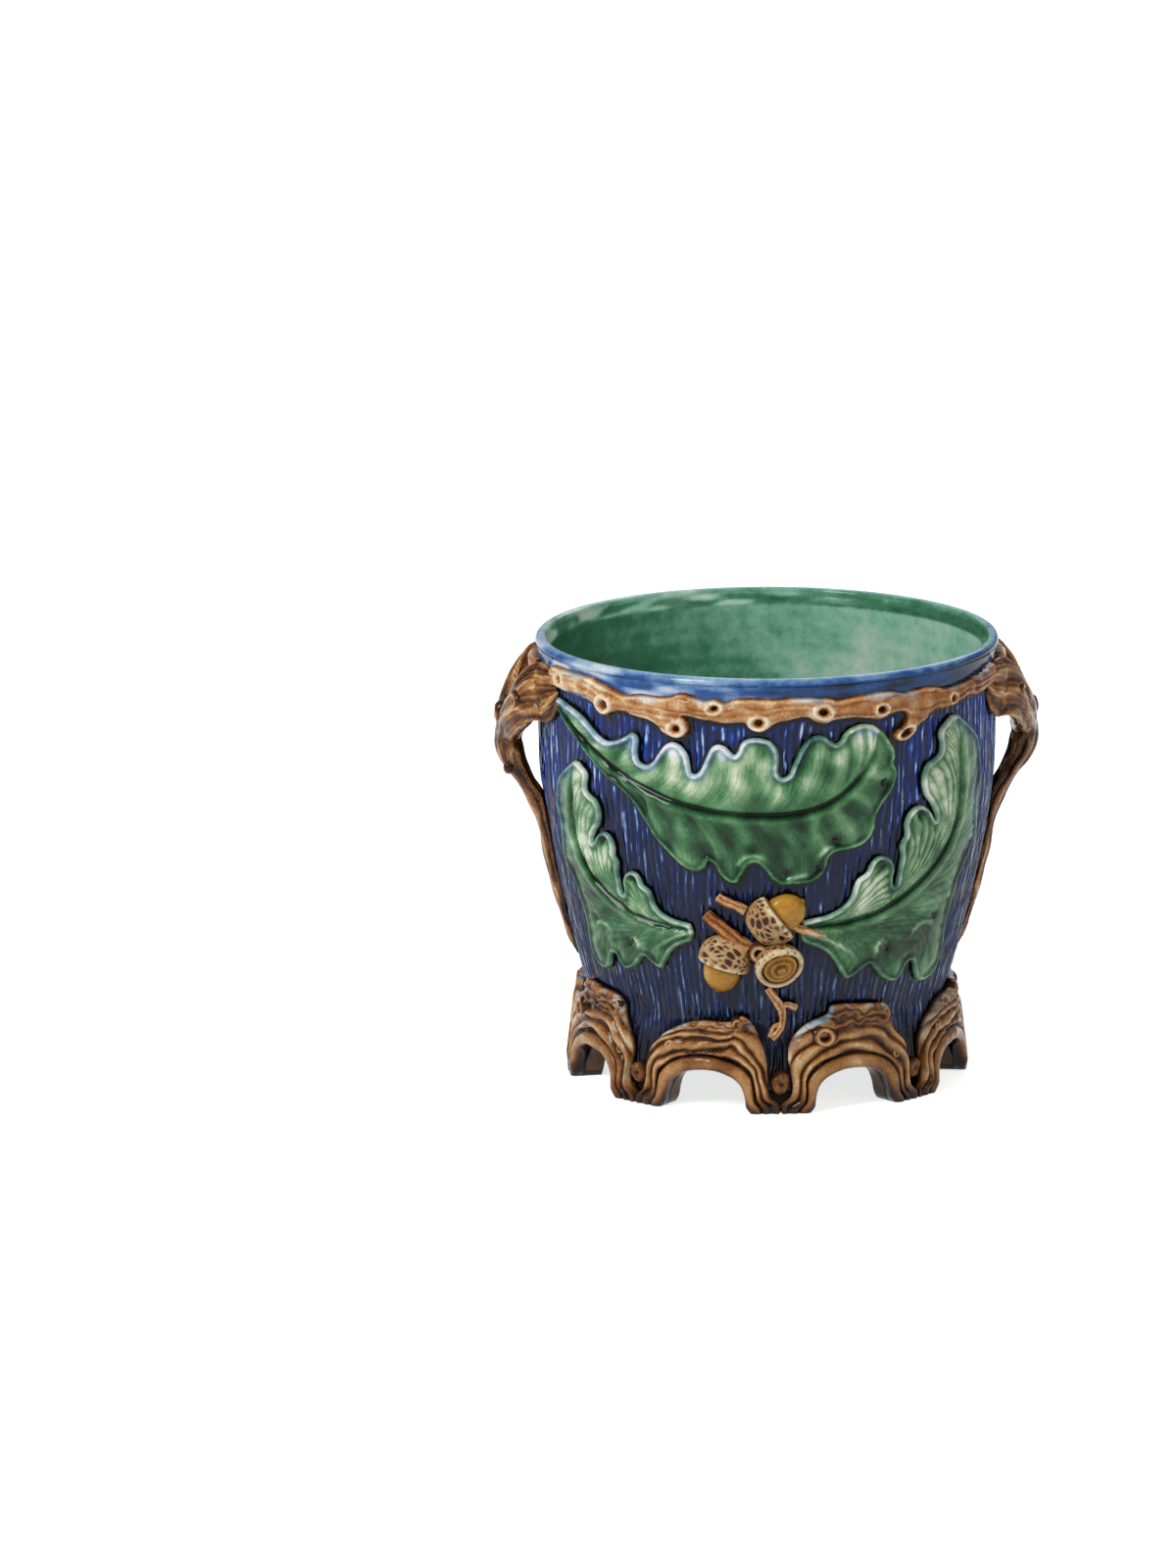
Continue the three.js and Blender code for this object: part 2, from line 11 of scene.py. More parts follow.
# %% The frame, the tools and the outer box
import math
from functools import partial

import bpy
import numpy as np
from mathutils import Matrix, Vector, kdtree
from mathutils.geometry import delaunay_2d_cdt


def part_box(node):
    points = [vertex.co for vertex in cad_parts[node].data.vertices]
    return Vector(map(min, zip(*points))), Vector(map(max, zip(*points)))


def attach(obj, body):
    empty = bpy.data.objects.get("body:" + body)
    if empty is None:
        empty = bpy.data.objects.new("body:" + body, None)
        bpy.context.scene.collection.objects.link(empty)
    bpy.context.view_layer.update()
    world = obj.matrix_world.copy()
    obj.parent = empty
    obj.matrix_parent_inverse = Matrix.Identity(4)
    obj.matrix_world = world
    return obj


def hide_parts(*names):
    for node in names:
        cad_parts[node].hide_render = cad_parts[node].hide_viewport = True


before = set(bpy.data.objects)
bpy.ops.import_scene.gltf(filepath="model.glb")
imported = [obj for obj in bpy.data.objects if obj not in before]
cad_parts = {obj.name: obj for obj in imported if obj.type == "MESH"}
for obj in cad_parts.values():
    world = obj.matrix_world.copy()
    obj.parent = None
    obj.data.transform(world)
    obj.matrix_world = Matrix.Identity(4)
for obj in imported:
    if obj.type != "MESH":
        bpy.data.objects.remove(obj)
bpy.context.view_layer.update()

# %% [markdown]
# ## The wall that carries everything
#
# The thrown wall swells from the waist to a shoulder and then stands nearly straight. Its outer radius at
# each height is one formula, so a leaf, a root or a handle can be laid on it with nothing but a distance.
# The sizes that the frame shows are read from it, and the rest are written here once.

# %% Sizes in millimetres, and the way from the drawing to the wall
MM = 0.001
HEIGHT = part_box("pot_body")[1].z / MM
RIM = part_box("pot_body")[1].x / MM
FOOT_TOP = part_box("foot_ring")[1].z / MM
FOOT_SPREAD = 6.6
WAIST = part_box("foot_ring")[1].x / MM - FOOT_SPREAD
SHOULDER_HEIGHT = 0.722 * HEIGHT
SHOULDER = RIM - 2.5
BELLY = 1.42  # how quickly the wall swells above the waist
FLARE = 1.5  # how much the wall opens from the shoulder to the lip
WALL = 7.5
DRAWN_RADIUS = 128
FRONT, RIGHT, BACK, LEFT = 0, math.pi / 2, math.pi, -math.pi / 2
FACES = (("front", FRONT), ("back", BACK))
SIDES = (("right", RIGHT), ("left", LEFT))
SUNK = -0.9  # how deep the backs of the laid-on pieces sit in the wall


def wall_radius(z):
    """Outside radius of the pot and its foot at a height."""
    rise = np.clip((z - FOOT_TOP) / (SHOULDER_HEIGHT - FOOT_TOP), 0, 1)
    foot = np.clip(1 - z / FOOT_TOP, 0, 1.2) * FOOT_SPREAD
    lip = np.clip((z - SHOULDER_HEIGHT) / (HEIGHT - SHOULDER_HEIGHT), 0, 1) * FLARE
    return WAIST + foot + (SHOULDER - WAIST) * (1 - (1 - rise) ** BELLY) + lip


def on_wall(flat, turn=FRONT):
    """Bends (x, y, height off the wall) round the pot, in metres."""
    x, y, off = np.asarray(flat, float).T
    angle = x / DRAWN_RADIUS + turn
    radius = wall_radius(y) + off
    return np.stack([radius * np.sin(angle), -radius * np.cos(angle), y], 1) * MM


print("waist", round(WAIST, 1), "mm, shoulder", SHOULDER, "mm at", round(SHOULDER_HEIGHT, 1), "mm")

# %% [markdown]
# ## Smooth lines and wandering noise
#
# A leaf's edge and a root's run are smooth lines through a few chosen points. `curve` is the same kind of
# line that the construction uses (a Catmull-Rom spline), walked in even steps. `ripple` is a slow,
# wandering up and down made of a few sine waves with a fixed seed, for everything that a hand did and a
# machine would not.


# %% Lines and noise
def smooth(points, steps=8):
    """A smooth line through rows of any width, with `steps` points for each stretch."""
    rows = np.asarray(points, float)
    padded = np.vstack([rows[0], rows, rows[-1]])
    at = np.linspace(0, len(rows) - 1, (len(rows) - 1) * steps + 1)
    i = np.minimum(at.astype(int), len(rows) - 2)
    f = (at - i)[:, None]
    a, b, c, d = (padded[i + k] for k in range(4))
    return 0.5 * (2 * b + (c - a) * f + (2 * a - 5 * b + 4 * c - d) * f**2 + (3 * b - a - 3 * c + d) * f**3)


def curve(points, count):
    """The same line, walked in `count` even steps of length."""
    line = smooth(points, 30)
    length = np.r_[0, np.cumsum(np.linalg.norm(np.diff(line[:, :2], axis=0), axis=1))]
    at = np.linspace(0, length[-1], count)
    return np.stack([np.interp(at, length, column) for column in line.T], 1)


def ripple(u, v, seed, waves=6):
    """Slow ups and downs between about -1 and 1; one wave is about one unit long."""
    rng = np.random.default_rng(seed)
    total = 0
    for _ in range(waves):
        a, b = rng.normal(size=2) * 2.6
        total = total + np.sin(a * u + b * v + rng.uniform(0, 2 * math.pi))
    return total / math.sqrt(waves * 2)


def bell(x, width):
    """1 at nought, fading to 0 on both sides."""
    return np.exp(-((x / width) ** 2))


def ramp(x, start, end):
    """0 before start, 1 after end, smooth between."""
    t = np.clip((x - start) / (end - start), 0, 1)
    return t * t * (3 - 2 * t)


print("a ripple runs from", round(float(ripple(np.linspace(0, 9, 99), 0, 1).min()), 2), "up")

# %% [markdown]
# ## Clay: points, faces and how the glaze lies
#
# Each piece is gathered as plain arrays: points, faces, and for each point a `tone` and a `wash`. Tone
# says how thick the glaze lies: 0 is a dark pool in a hollow, 1 is a crest where it ran thin and pale. On
# some pieces tone and wash also carry painted light and shade, as noted where they are made.
# Wash blends in the piece's second glaze. The shaders read both, so the colour follows the relief by
# itself. A closed shape whose volume comes out negative is inside out, and its faces are turned.


# %% Clay and what can be done with it
class Clay:
    """Points, faces, and the glaze's tone and wash at each point."""

    def __init__(self, points, faces, tone, wash=0.0):
        self.points = np.asarray(points, float)
        self.faces = [tuple(map(int, face)) for face in faces]
        self.tone = np.broadcast_to(tone, len(self.points)).astype(float)
        self.wash = np.broadcast_to(wash, len(self.points)).astype(float)

    def outward(self):
        """The same clay, turned right side out."""
        p = self.points
        volume = 0.0
        for face in self.faces:
            for k in range(1, len(face) - 1):
                volume += np.dot(p[face[0]], np.cross(p[face[k]], p[face[k + 1]]))
        if volume < 0:
            self.faces = [face[::-1] for face in self.faces]
        return self

    def shaped(self, points):
        """The same clay with its points moved."""
        return Clay(points, self.faces, self.tone, self.wash)

    def bent(self, turn):
        return self.shaped(on_wall(self.points, turn))


def joined(*clays):
    faces = []
    start = 0
    for clay in clays:
        faces += [tuple(i + start for i in face) for face in clay.faces]
        start += len(clay.points)
    return Clay(
        np.vstack([c.points for c in clays]), faces,
        np.concatenate([c.tone for c in clays]), np.concatenate([c.wash for c in clays]),
    )


def tube(rings, tone, wash=0.0, closed=False):
    """A closed skin over rings of points: (rows, around, 3). Open ends are sewn to a point."""
    rows, around = rings.shape[:2]
    index = np.arange(rows * around).reshape(rows, around)
    after = np.roll(index, -1, 0) if closed else index[1:]
    here = index if closed else index[:-1]
    quads = np.stack([here, np.roll(here, -1, 1), np.roll(after, -1, 1), after], -1).reshape(-1, 4)
    points = rings.reshape(-1, 3)
    tone = np.broadcast_to(tone, (rows, around)).ravel()
    wash = np.broadcast_to(wash, (rows, around)).ravel()
    faces = quads.tolist()
    if not closed:
        points = np.vstack([points, rings[0].mean(0), rings[-1].mean(0)])
        tone = np.r_[tone, tone[:around].mean(), tone[-around:].mean()]
        wash = np.r_[wash, wash[:around].mean(), wash[-around:].mean()]
        first, last = rows * around, rows * around + 1
        faces += [(first, index[0, (k + 1) % around], index[0, k]) for k in range(around)]
        faces += [(last, index[-1, k], index[-1, (k + 1) % around]) for k in range(around)]
    return Clay(points, faces, tone, wash).outward()


def strip(x, y, off, tone, wash):
    """A relief on a grid of drawing points (along, across), closed by a plain back in the wall."""
    rear = np.linspace(x.shape[1] - 1, 0, 5).astype(int)
    front = np.stack([x, y, off], -1)
    behind = np.stack([x[:, rear], y[:, rear], np.full((len(x), len(rear)), SUNK)], -1)
    unseen = ((0, 0), (0, len(rear)))
    return tube(np.concatenate([front, behind], 1), np.pad(tone, unseen), np.pad(wash, unseen))


# %% [markdown]
# ## Glaze
#
# Lead glaze is glass: colour that is deep where it is thick, under one smooth, hard shine. One shader
# recipe serves every piece. The tone, with a slow mottle and a fine grain added from noise in the
# object's own coordinates, picks a colour from a ramp; the wash blends to a second ramp. A weak bump
# keeps the shine from being a perfect mirror, as a brushed-on glaze never is.


# %% Shader nodes, and colours as they are written
GLAZE_IOR = 1.31
WAVE_DEPTH = 0.0006


def node(tree, kind, inputs=None, **settings):
    """A new node in a tree: its settings, and its inputs as plain values or outputs of other nodes."""
    made = tree.nodes.new(kind)
    for key, value in settings.items():
        setattr(made, key, value)
    for key, value in (inputs or {}).items():
        if isinstance(value, bpy.types.NodeSocket):
            tree.links.new(value, made.inputs[key])
        else:
            made.inputs[key].default_value = value
    return made


def calc(tree, operation, *values, clamp=False):
    """The result of a Math node."""
    inputs = dict(enumerate(values))
    return node(tree, "ShaderNodeMath", inputs, operation=operation, use_clamp=clamp).outputs[0]


def noise(tree, place, scale, detail):
    inputs = {"Vector": place, "Scale": scale, "Detail": detail}
    return node(tree, "ShaderNodeTexNoise", inputs).outputs["Fac"]


def paint(code):
    """A written colour such as 3a6b4f as the light values that a shader wants."""
    values = [int(code[i : i + 2], 16) / 255 for i in (0, 2, 4)]
    return [((v + 0.055) / 1.055) ** 2.4 if v > 0.04045 else v / 12.92 for v in values] + [1]


print("white as a shader wants it:", paint("ffffff"))


# %% The glaze recipe
def glaze(name, stops, wash_stops=None, mottle=0.16, grain=0.08, roughness=0.13, wave=0.12):
    material = bpy.data.materials.new(name)
    material.use_nodes = True
    tree = material.node_tree
    body = tree.nodes["Principled BSDF"]
    body.inputs["Roughness"].default_value = roughness
    body.inputs["IOR"].default_value = GLAZE_IOR
    place = node(tree, "ShaderNodeTexCoord").outputs["Object"]

    def cloud(scale, detail, amount):
        centred = calc(tree, "SUBTRACT", noise(tree, place, scale, detail), 0.5)
        return calc(tree, "MULTIPLY", centred, amount)

    def read(attribute):
        return node(tree, "ShaderNodeAttribute", attribute_name=attribute).outputs["Fac"]

    def colours(table, factor):
        made = node(tree, "ShaderNodeValToRGB", {"Fac": factor})
        elements = made.color_ramp.elements
        elements[0].position, elements[0].color = table[0][0], paint(table[0][1])
        elements[1].position, elements[1].color = table[-1][0], paint(table[-1][1])
        for at, code in table[1:-1]:
            elements.new(at).color = paint(code)
        return made.outputs["Color"]

    slow, fine, patch = cloud(34, 3, 2 * mottle), cloud(520, 2, 2 * grain), cloud(150, 3, 1.2 * mottle)
    tone = calc(tree, "ADD", read("tone"), calc(tree, "ADD", slow, calc(tree, "ADD", fine, patch)))
    colour = colours(stops, tone)
    if wash_stops:
        patchy = calc(tree, "MULTIPLY", cloud(95, 4, 0.9), read("wash"))
        over = calc(tree, "ADD", read("wash"), patchy)
        both = {"Factor": over, "A": colour, "B": colours(wash_stops, tone)}
        colour = node(tree, "ShaderNodeMix", both, data_type="RGBA").outputs["Result"]
    tree.links.new(colour, body.inputs["Base Color"])
    waves = {"Strength": wave, "Distance": WAVE_DEPTH, "Height": noise(tree, place, 210, 2)}
    tree.links.new(node(tree, "ShaderNodeBump", waves).outputs["Normal"], body.inputs["Normal"])
    return material


# %% [markdown]
# ## The colours of this pot
#
# Each glaze is a ramp from its pool to its crest: the dark of a groove, the body of the colour, the pale
# of a crest. Most have a second ramp for the wash. They were mixed render after render.

# %% The nine glazes
COBALT = glaze(
    "cobalt_glaze",
    [(0, "02030a"), (0.2, "071434"), (0.42, "102a60"), (0.6, "2b5088"), (0.8, "8fa3ba"), (1, "d8dfe8")],
    [(0, "04060e"), (0.2, "081a50"), (0.42, "0a389c"), (0.6, "2664c4"), (0.8, "8fb0e0"), (1, "eaf1fa")],
    grain=0.12,
)
BOWL = glaze(
    "bowl_glaze",
    [(0, "2b3a22"), (0.25, "2f6345"), (0.5, "4c8d6c"), (0.75, "93cbb0"), (1, "d8e6da")],
    [(0, "0a0f1c"), (0.25, "1d3452"), (0.5, "2a5ca2"), (0.75, "86a8d4"), (1, "dce4ef")],
    mottle=0.26, grain=0.06, wave=0.07,
)
LEAF = glaze(
    "leaf_glaze",
    [(0, "060b06"), (0.14, "0c2011"), (0.32, "1c4628"), (0.5, "3b7045"), (0.68, "6b9b6c"), (0.86, "b0c7a2"),
     (1, "e6ead6")],
    [(0, "0a0d16"), (0.14, "16284c"), (0.32, "2f5a86"), (0.5, "668fa6"), (0.68, "9fb9ca"), (0.86, "d0d9ea"),
     (1, "f5f6fc")],
    mottle=0.24,
)
BARK = glaze(
    "root_glaze",
    [(0, "0a0705"), (0.16, "25140a"), (0.36, "5a3519"), (0.56, "925f31"), (0.76, "be8f5b"), (0.9, "dcc094"),
     (1, "efe2c6")],
    [(0, "0c0f16"), (0.2, "2b3038"), (0.5, "6c7680"), (0.8, "a7b2b6"), (1, "d5dcdc")],
    mottle=0.2, grain=0.13,
)
HONEY = glaze(
    "twig_glaze",
    [(0, "130b06"), (0.16, "3c1f0d"), (0.36, "824a20"), (0.56, "b2733c"), (0.74, "cf9e6c"),
     (0.88, "e8cda6"), (1, "f6ead2")],
    [(0, "0c0f16"), (0.2, "38444c"), (0.5, "7f8d92"), (0.8, "c2cad2"), (1, "e9edef")],
    mottle=0.27, grain=0.2,
)
ACORN = glaze(
    "acorn_glaze",
    [(0, "23180a"), (0.2, "63400f"), (0.45, "a8741f"), (0.65, "c69136"), (0.85, "dcb264"), (1, "efdca6")],
    mottle=0.24, grain=0.2,
)
CUP = glaze(
    "cup_glaze",
    [(0, "0e0706"), (0.2, "33170e"), (0.42, "6a3c23"), (0.62, "a27848"), (0.82, "ccae7e"), (1, "ecdcb6")],
)
CLAY_FOOT = glaze(
    "foot_glaze",
    [(0, "080706"), (0.25, "17110b"), (0.5, "3a2616"), (0.75, "7a5434"), (1, "b08a5e")],
    roughness=0.17,
)
print("glazes:", len(bpy.data.materials))

# %% [markdown]
# ## From clay to a piece
#
# `lay` turns clay into one smooth-shaded object and hides the construction pieces that it stands for.
# Everything is one body here, because nothing on the pot moves.


# %% Making a piece
def make_object(name, clay, material):
    mesh = bpy.data.meshes.new(name)
    mesh.from_pydata(clay.points.tolist(), [], clay.faces)
    for key, values in (("tone", clay.tone), ("wash", clay.wash)):
        mesh.attributes.new(key, "FLOAT", "POINT").data.foreach_set("value", values.astype(np.float32))
    mesh.polygons.foreach_set("use_smooth", np.ones(len(mesh.polygons), bool))
    mesh.materials.append(material)
    made = bpy.data.objects.new(name, mesh)
    bpy.context.scene.collection.objects.link(made)
    return made


def settle(made, slot, *stands_for):
    """Puts a made object in the one body and hides the construction pieces it stands for; the finish it is
    given is not used.
    """
    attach(made, "root")
    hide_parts(*stands_for)
    triangles = sum(len(face.vertices) - 2 for face in made.data.polygons)
    print(f"{made.name}: {triangles} triangles, stands for {', '.join(stands_for) or 'nothing'}")
    return made


def lay(name, clay, material, slot, *stands_for):
    return settle(make_object(name, clay, material), slot, *stands_for)


# the ground's colour darkens round these pieces: pooled glaze and painted shade
reliefs = []  # what the dark glaze of the ground pools around


def lay_relief(name, clay, turn, material, slot, stands_for):
    """A piece bent round the wall, and noted for the ground."""
    reliefs.append(lay(name, clay.bent(turn), material, slot, stands_for))


# %% [markdown]
# ## A leaf blank: a fine, even net cut to an outline
#
# A leaf could be a grid stretched from its midrib to its edge, but the lobes would pull the squares long
# and the rolled edge would tear into steps. So a square net is laid over the drawing and kept where it is
# inside the outline; the points nearest the outline are pulled on to it.


# %% Distances to a line
def measure(line, points, closed=True):
    """Distance to a line, the nearest point on it, how far along it (0 to 1), and whether inside."""
    start = line if closed else line[:-1]
    step = (np.roll(line, -1, 0) - line) if closed else np.diff(line, axis=0)
    length = np.linalg.norm(step, axis=1)
    along = np.r_[0, np.cumsum(length)]
    found = []
    for block in np.array_split(points, len(points) // 3000 + 1):
        gap = block[:, None] - start[None]
        f = np.clip((gap * step).sum(-1) / np.maximum(length**2, 1e-12), 0, 1)
        near = start + step * f[..., None]
        squared = ((block[:, None] - near) ** 2).sum(-1)
        best = squared.argmin(1)
        rows = np.arange(len(block))
        rise = (start[:, 1] > block[:, 1:]) != ((start + step)[:, 1] > block[:, 1:])
        flat = np.where(step[:, 1] == 0, 1e-12, step[:, 1])
        cross = rise & (gap[..., 0] < gap[..., 1] * (step[:, 0] / flat))
        place = (along[best] + f[rows, best] * length[best]) / along[-1]
        found.append((np.sqrt(squared[rows, best]), near[rows, best], place, cross.sum(1) % 2 == 1))
    return [np.concatenate(column) for column in zip(*found)]


def outline_of(upper, lower):
    """The closed outline between an upper and a lower edge, both drawn from left to right."""
    return np.vstack([smooth(upper)[:, :2], smooth(lower)[::-1, :2]])


square = np.array([[0, 0], [9, 0], [9, 9], [0, 9]], float)
print("the middle of a 9 mm square is", measure(square, np.array([[4.5, 4.5]]))[0][0], "mm from its edge")


# %% The net
SLIVER = 0.12  # the smallest share of a cell that is kept at the edge


def net(outline, cell):
    """An even net inside a closed outline: points, faces, and the distance of each point to the outline."""
    low, high = outline.min(0) - 2 * cell, outline.max(0) + 2 * cell
    counts = np.ceil((high - low) / cell).astype(int) + 1
    grid = np.stack(np.meshgrid(*(low[k] + cell * np.arange(counts[k]) for k in (0, 1)), indexing="ij"), -1)
    points = grid.reshape(-1, 2)
    gap, near, _, inside = measure(outline, points)
    edge = gap <= cell / 2
    points[edge] = near[edge]
    gap[edge] = 0
    kept = inside | edge
    index = np.arange(len(points)).reshape(counts)
    corners = np.stack([index[:-1, :-1], index[1:, :-1], index[1:, 1:], index[:-1, 1:]], -1).reshape(-1, 4)
    good = kept[corners]
    faces = [tuple(c) for c in corners[good.all(1)]]
    for c, g in zip(corners[good.sum(1) == 3], good[good.sum(1) == 3]):
        faces.append(tuple(c[g]))
    rim_only = [k for k, face in enumerate(faces) if edge[list(face)].all()]
    centres = np.array([points[list(faces[k])].mean(0) for k in rim_only]).reshape(-1, 2)
    centre_in = measure(outline, centres)[3] if len(centres) else []
    drop = set()
    for k, is_in in zip(rim_only, centre_in):
        q = points[list(faces[k])]
        turned = np.roll(q, -1, 0)
        area = 0.5 * (q[:, 0] * turned[:, 1] - turned[:, 0] * q[:, 1]).sum()
        if not is_in or area < SLIVER * cell * cell:
            drop.add(k)
    faces = [face for k, face in enumerate(faces) if k not in drop]
    used = np.unique(np.concatenate([np.array(face) for face in faces]))
    renumber = np.full(len(points), -1)
    renumber[used] = np.arange(len(used))
    return points[used], [tuple(renumber[list(face)]) for face in faces], gap[used]


print("the square at 1 mm takes", len(net(square, 1.0)[0]), "points")

# %% [markdown]
# ## From a net to a closed relief
#
# The net with heights is only the face. From its outline a side wall goes down into the pot in a few
# rows, rolled in under the edge, and a coarse back closes it. The back is cut into triangles (a
# constrained Delaunay triangulation) between the outline and widely spaced points, so that it follows the
# round wall with few faces.


# %% Side walls and back
# the side rows darken towards the wall, nearly to black at its foot: pooled glaze and painted shade under
# the rolled edge
ROLLED_SIDE = [
    (0.35, 1.0, -0.5, None), (0.45, 1.0, -1.3, 0.45), (0.15, 0.62, -0.4, 0.12), (0.3, 0.25, 0.0, 0.03),
    (0.0, 0.0, SUNK, 0.0),
]
BACK_PITCH = 7.0
BACK_MARGIN = 2.0


def open_edges(faces):
    """The edges that only one face has, in that face's direction."""
    edges = dict.fromkeys((a, b) for face in faces for a, b in zip(face, face[1:] + face[:1]))
    return [edge for edge in edges if edge[::-1] not in edges]


def coarse_inside(rim_points, rim, around):
    """Widely spaced points inside the rim."""
    low, high = rim_points.min(0), rim_points.max(0)
    spaced = (np.arange(low[k], high[k], BACK_PITCH) for k in (0, 1))
    grid = np.stack(np.meshgrid(*spaced), -1).reshape(-1, 2)
    tree = kdtree.KDTree(len(rim_points))
    for k, p in enumerate(rim_points):
        tree.insert((p[0], p[1], 0), k)
    tree.balance()
    far = np.array([tree.find((p[0], p[1], 0))[2] > BACK_MARGIN for p in grid])
    place = {v: k for k, v in enumerate(around.tolist())}
    a = rim_points[[place[e[0]] for e in rim]]
    b = rim_points[[place[e[1]] for e in rim]]
    rise = (a[:, 1] > grid[:, 1:]) != (b[:, 1] > grid[:, 1:])
    slope = (b[:, 0] - a[:, 0]) / np.where(b[:, 1] == a[:, 1], 1e-12, b[:, 1] - a[:, 1])
    cross = rise & (grid[:, :1] < a[:, 0] + slope * (grid[:, 1:] - a[:, 1]))
    return grid[far & (cross.sum(1) % 2 == 1)]


def cut_relief(points, faces, off, tone, wash):
    """Clay from a net with heights. A side row is (out, share of the edge height, drop, tone)."""
    rim = open_edges(faces)
    ends = np.array(rim)
    around = np.unique(ends)
    run = points[ends[:, 1]] - points[ends[:, 0]]
    normal = np.zeros((len(points), 2))
    for k in (0, 1):
        np.add.at(normal, ends[:, k], np.stack([run[:, 1], -run[:, 0]], 1))
    normal = normal[around]
    normal /= np.maximum(np.linalg.norm(normal, axis=1, keepdims=True), 1e-9)
    flat = [np.column_stack([points, off])]
    tones, washes, skin = [tone], [wash], list(faces)
    place = {int(v): int(v) for v in around}
    total = len(points)
    for out, share, drop, shade in ROLLED_SIDE:
        flat.append(np.column_stack([points[around] + normal * out, off[around] * share + drop]))
        tones.append(tone[around] if shade is None else np.full(len(around), shade))
        washes.append(wash[around] * 0.6)
        after = {int(v): total + k for k, v in enumerate(around)}
        skin += [(place[b], place[a], after[a], after[b]) for a, b in rim]
        place = after
        total += len(around)
    corners = [Vector(p) for p in (*points[around], *coarse_inside(points[around], rim, around))]
    last = {v: k for k, v in enumerate(around.tolist())}
    edges = [(last[a], last[b]) for a, b in rim]
    made, _, cells, origin, _, _ = delaunay_2d_cdt(corners, edges, [], 1, 1e-7)
    base = total - len(around)
    number, extra = [], []
    for point, sources in zip(made, origin):
        if sources and sources[0] < len(around):
            number.append(base + sources[0])
        else:
            number.append(total + len(extra))
            extra.append((point.x, point.y, SUNK))
    skin += [tuple(number[i] for i in face)[::-1] for face in cells]
    flat.append(np.reshape(extra, (-1, 3)))
    unseen = np.zeros(len(extra))
    return Clay(np.vstack(flat), skin, np.concatenate([*tones, unseen]), np.concatenate([*washes, unseen]))


print("rows of the side wall:", len(ROLLED_SIDE))

# %% [markdown]
# ## Oak leaves
#
# An oak leaf in clay has a grooved midrib with a soft ridge on each side, ribs that leave it in curves
# towards the lobes, and an edge rolled up into a bead. Each edge row says from where along the midrib its
# rib starts, so ribs can be drawn as short curves (quadratic Bezier) from midrib to edge. The rows are
# (x, y, place along the midrib). The leaf low on the left is the upright one, mirrored and made smaller.

# %% Leaf drawing
BROAD_MIDRIB = [
    (-150, 240), (-120, 222), (-84, 203), (-46, 191), (-5, 188), (24, 194), (44, 212), (54, 236),
]
BROAD_UPPER = [
    (-150, 243, 0), (-138, 241, 0.05), (-124, 236.5, 0.1), (-113, 228.5, 0.145), (-104.7, 224.8, 0.19),
    (-97, 226.6, 0.215), (-91, 229.7, 0.235), (-86.5, 232.6, 0.258), (-83, 229.6, 0.268),
    (-83.6, 222, 0.28), (-82.5, 216, 0.29), (-78, 213.9, 0.305), (-73.5, 216.2, 0.325),
    (-69.7, 222, 0.345), (-65.5, 227.6, 0.365), (-61, 229.6, 0.385), (-56.5, 227.7, 0.405),
    (-52.8, 222.5, 0.425), (-51.6, 216, 0.437), (-50.5, 211.8, 0.445), (-47.3, 211.5, 0.455),
    (-44.3, 215.5, 0.467), (-42, 221.5, 0.478), (-39.3, 227.4, 0.49), (-36, 229.8, 0.505),
    (-32, 229, 0.52), (-29, 226, 0.533), (-26.4, 224.1, 0.545), (-24.3, 226.5, 0.555),
    (-22.6, 231.2, 0.565), (-19, 234, 0.58), (-13, 234.5, 0.605), (-7, 232.4, 0.628), (-3.7, 228, 0.642),
    (-2.5, 222, 0.65), (-3.2, 214.5, 0.656), (-0.6, 210.5, 0.664), (3.2, 212.4, 0.674),
    (5.7, 218.5, 0.684), (8.4, 225.3, 0.698), (12.4, 232, 0.716), (17, 235.2, 0.735), (22, 234.9, 0.755),
    (26, 231.6, 0.773), (29.2, 230, 0.788), (31.9, 232, 0.803), (34, 236, 0.82), (38, 239, 0.85),
    (44, 240.6, 0.9), (51, 239.2, 1),
]
BROAD_LOWER = [
    (-150, 237, 0), (-126, 219, 0.11), (-108, 205, 0.18), (-94, 197, 0.235), (-86, 190, 0.265),
    (-80, 181, 0.29), (-74, 171, 0.315), (-66, 162, 0.345), (-58, 154, 0.375), (-50, 151, 0.4),
    (-44.5, 154, 0.42), (-42, 158.5, 0.43), (-38, 155.5, 0.452), (-35.5, 150, 0.48), (-31, 145.6, 0.495),
    (-26.5, 145, 0.511), (-23, 150, 0.52), (-20, 155.5, 0.535), (-16.5, 158, 0.55), (-12.5, 156.5, 0.565),
    (-8.5, 151.5, 0.583), (-4.5, 146.2, 0.6), (0, 143.8, 0.62), (6, 144, 0.642), (12, 144.2, 0.662),
    (18, 145.8, 0.685), (22.5, 149.5, 0.705), (25, 154.5, 0.722), (26, 160, 0.738), (30, 163.6, 0.755),
    (37, 164.6, 0.78), (44, 166.2, 0.805), (49.5, 170.2, 0.828), (52.3, 176.5, 0.848), (52.6, 183, 0.866),
    (56.5, 190.8, 0.888), (62, 198, 0.912), (65, 204.8, 0.93), (65.5, 210, 0.945), (63.2, 215.3, 0.957),
    (64.2, 219.8, 0.967), (62.6, 225.8, 0.978), (57, 234.5, 1),
]
UPRIGHT_MIDRIB = [
    (13, 117), (37, 118), (62, 124), (80, 133), (95, 144), (106, 157), (112, 172), (114, 190), (113, 210),
    (109, 235),
]
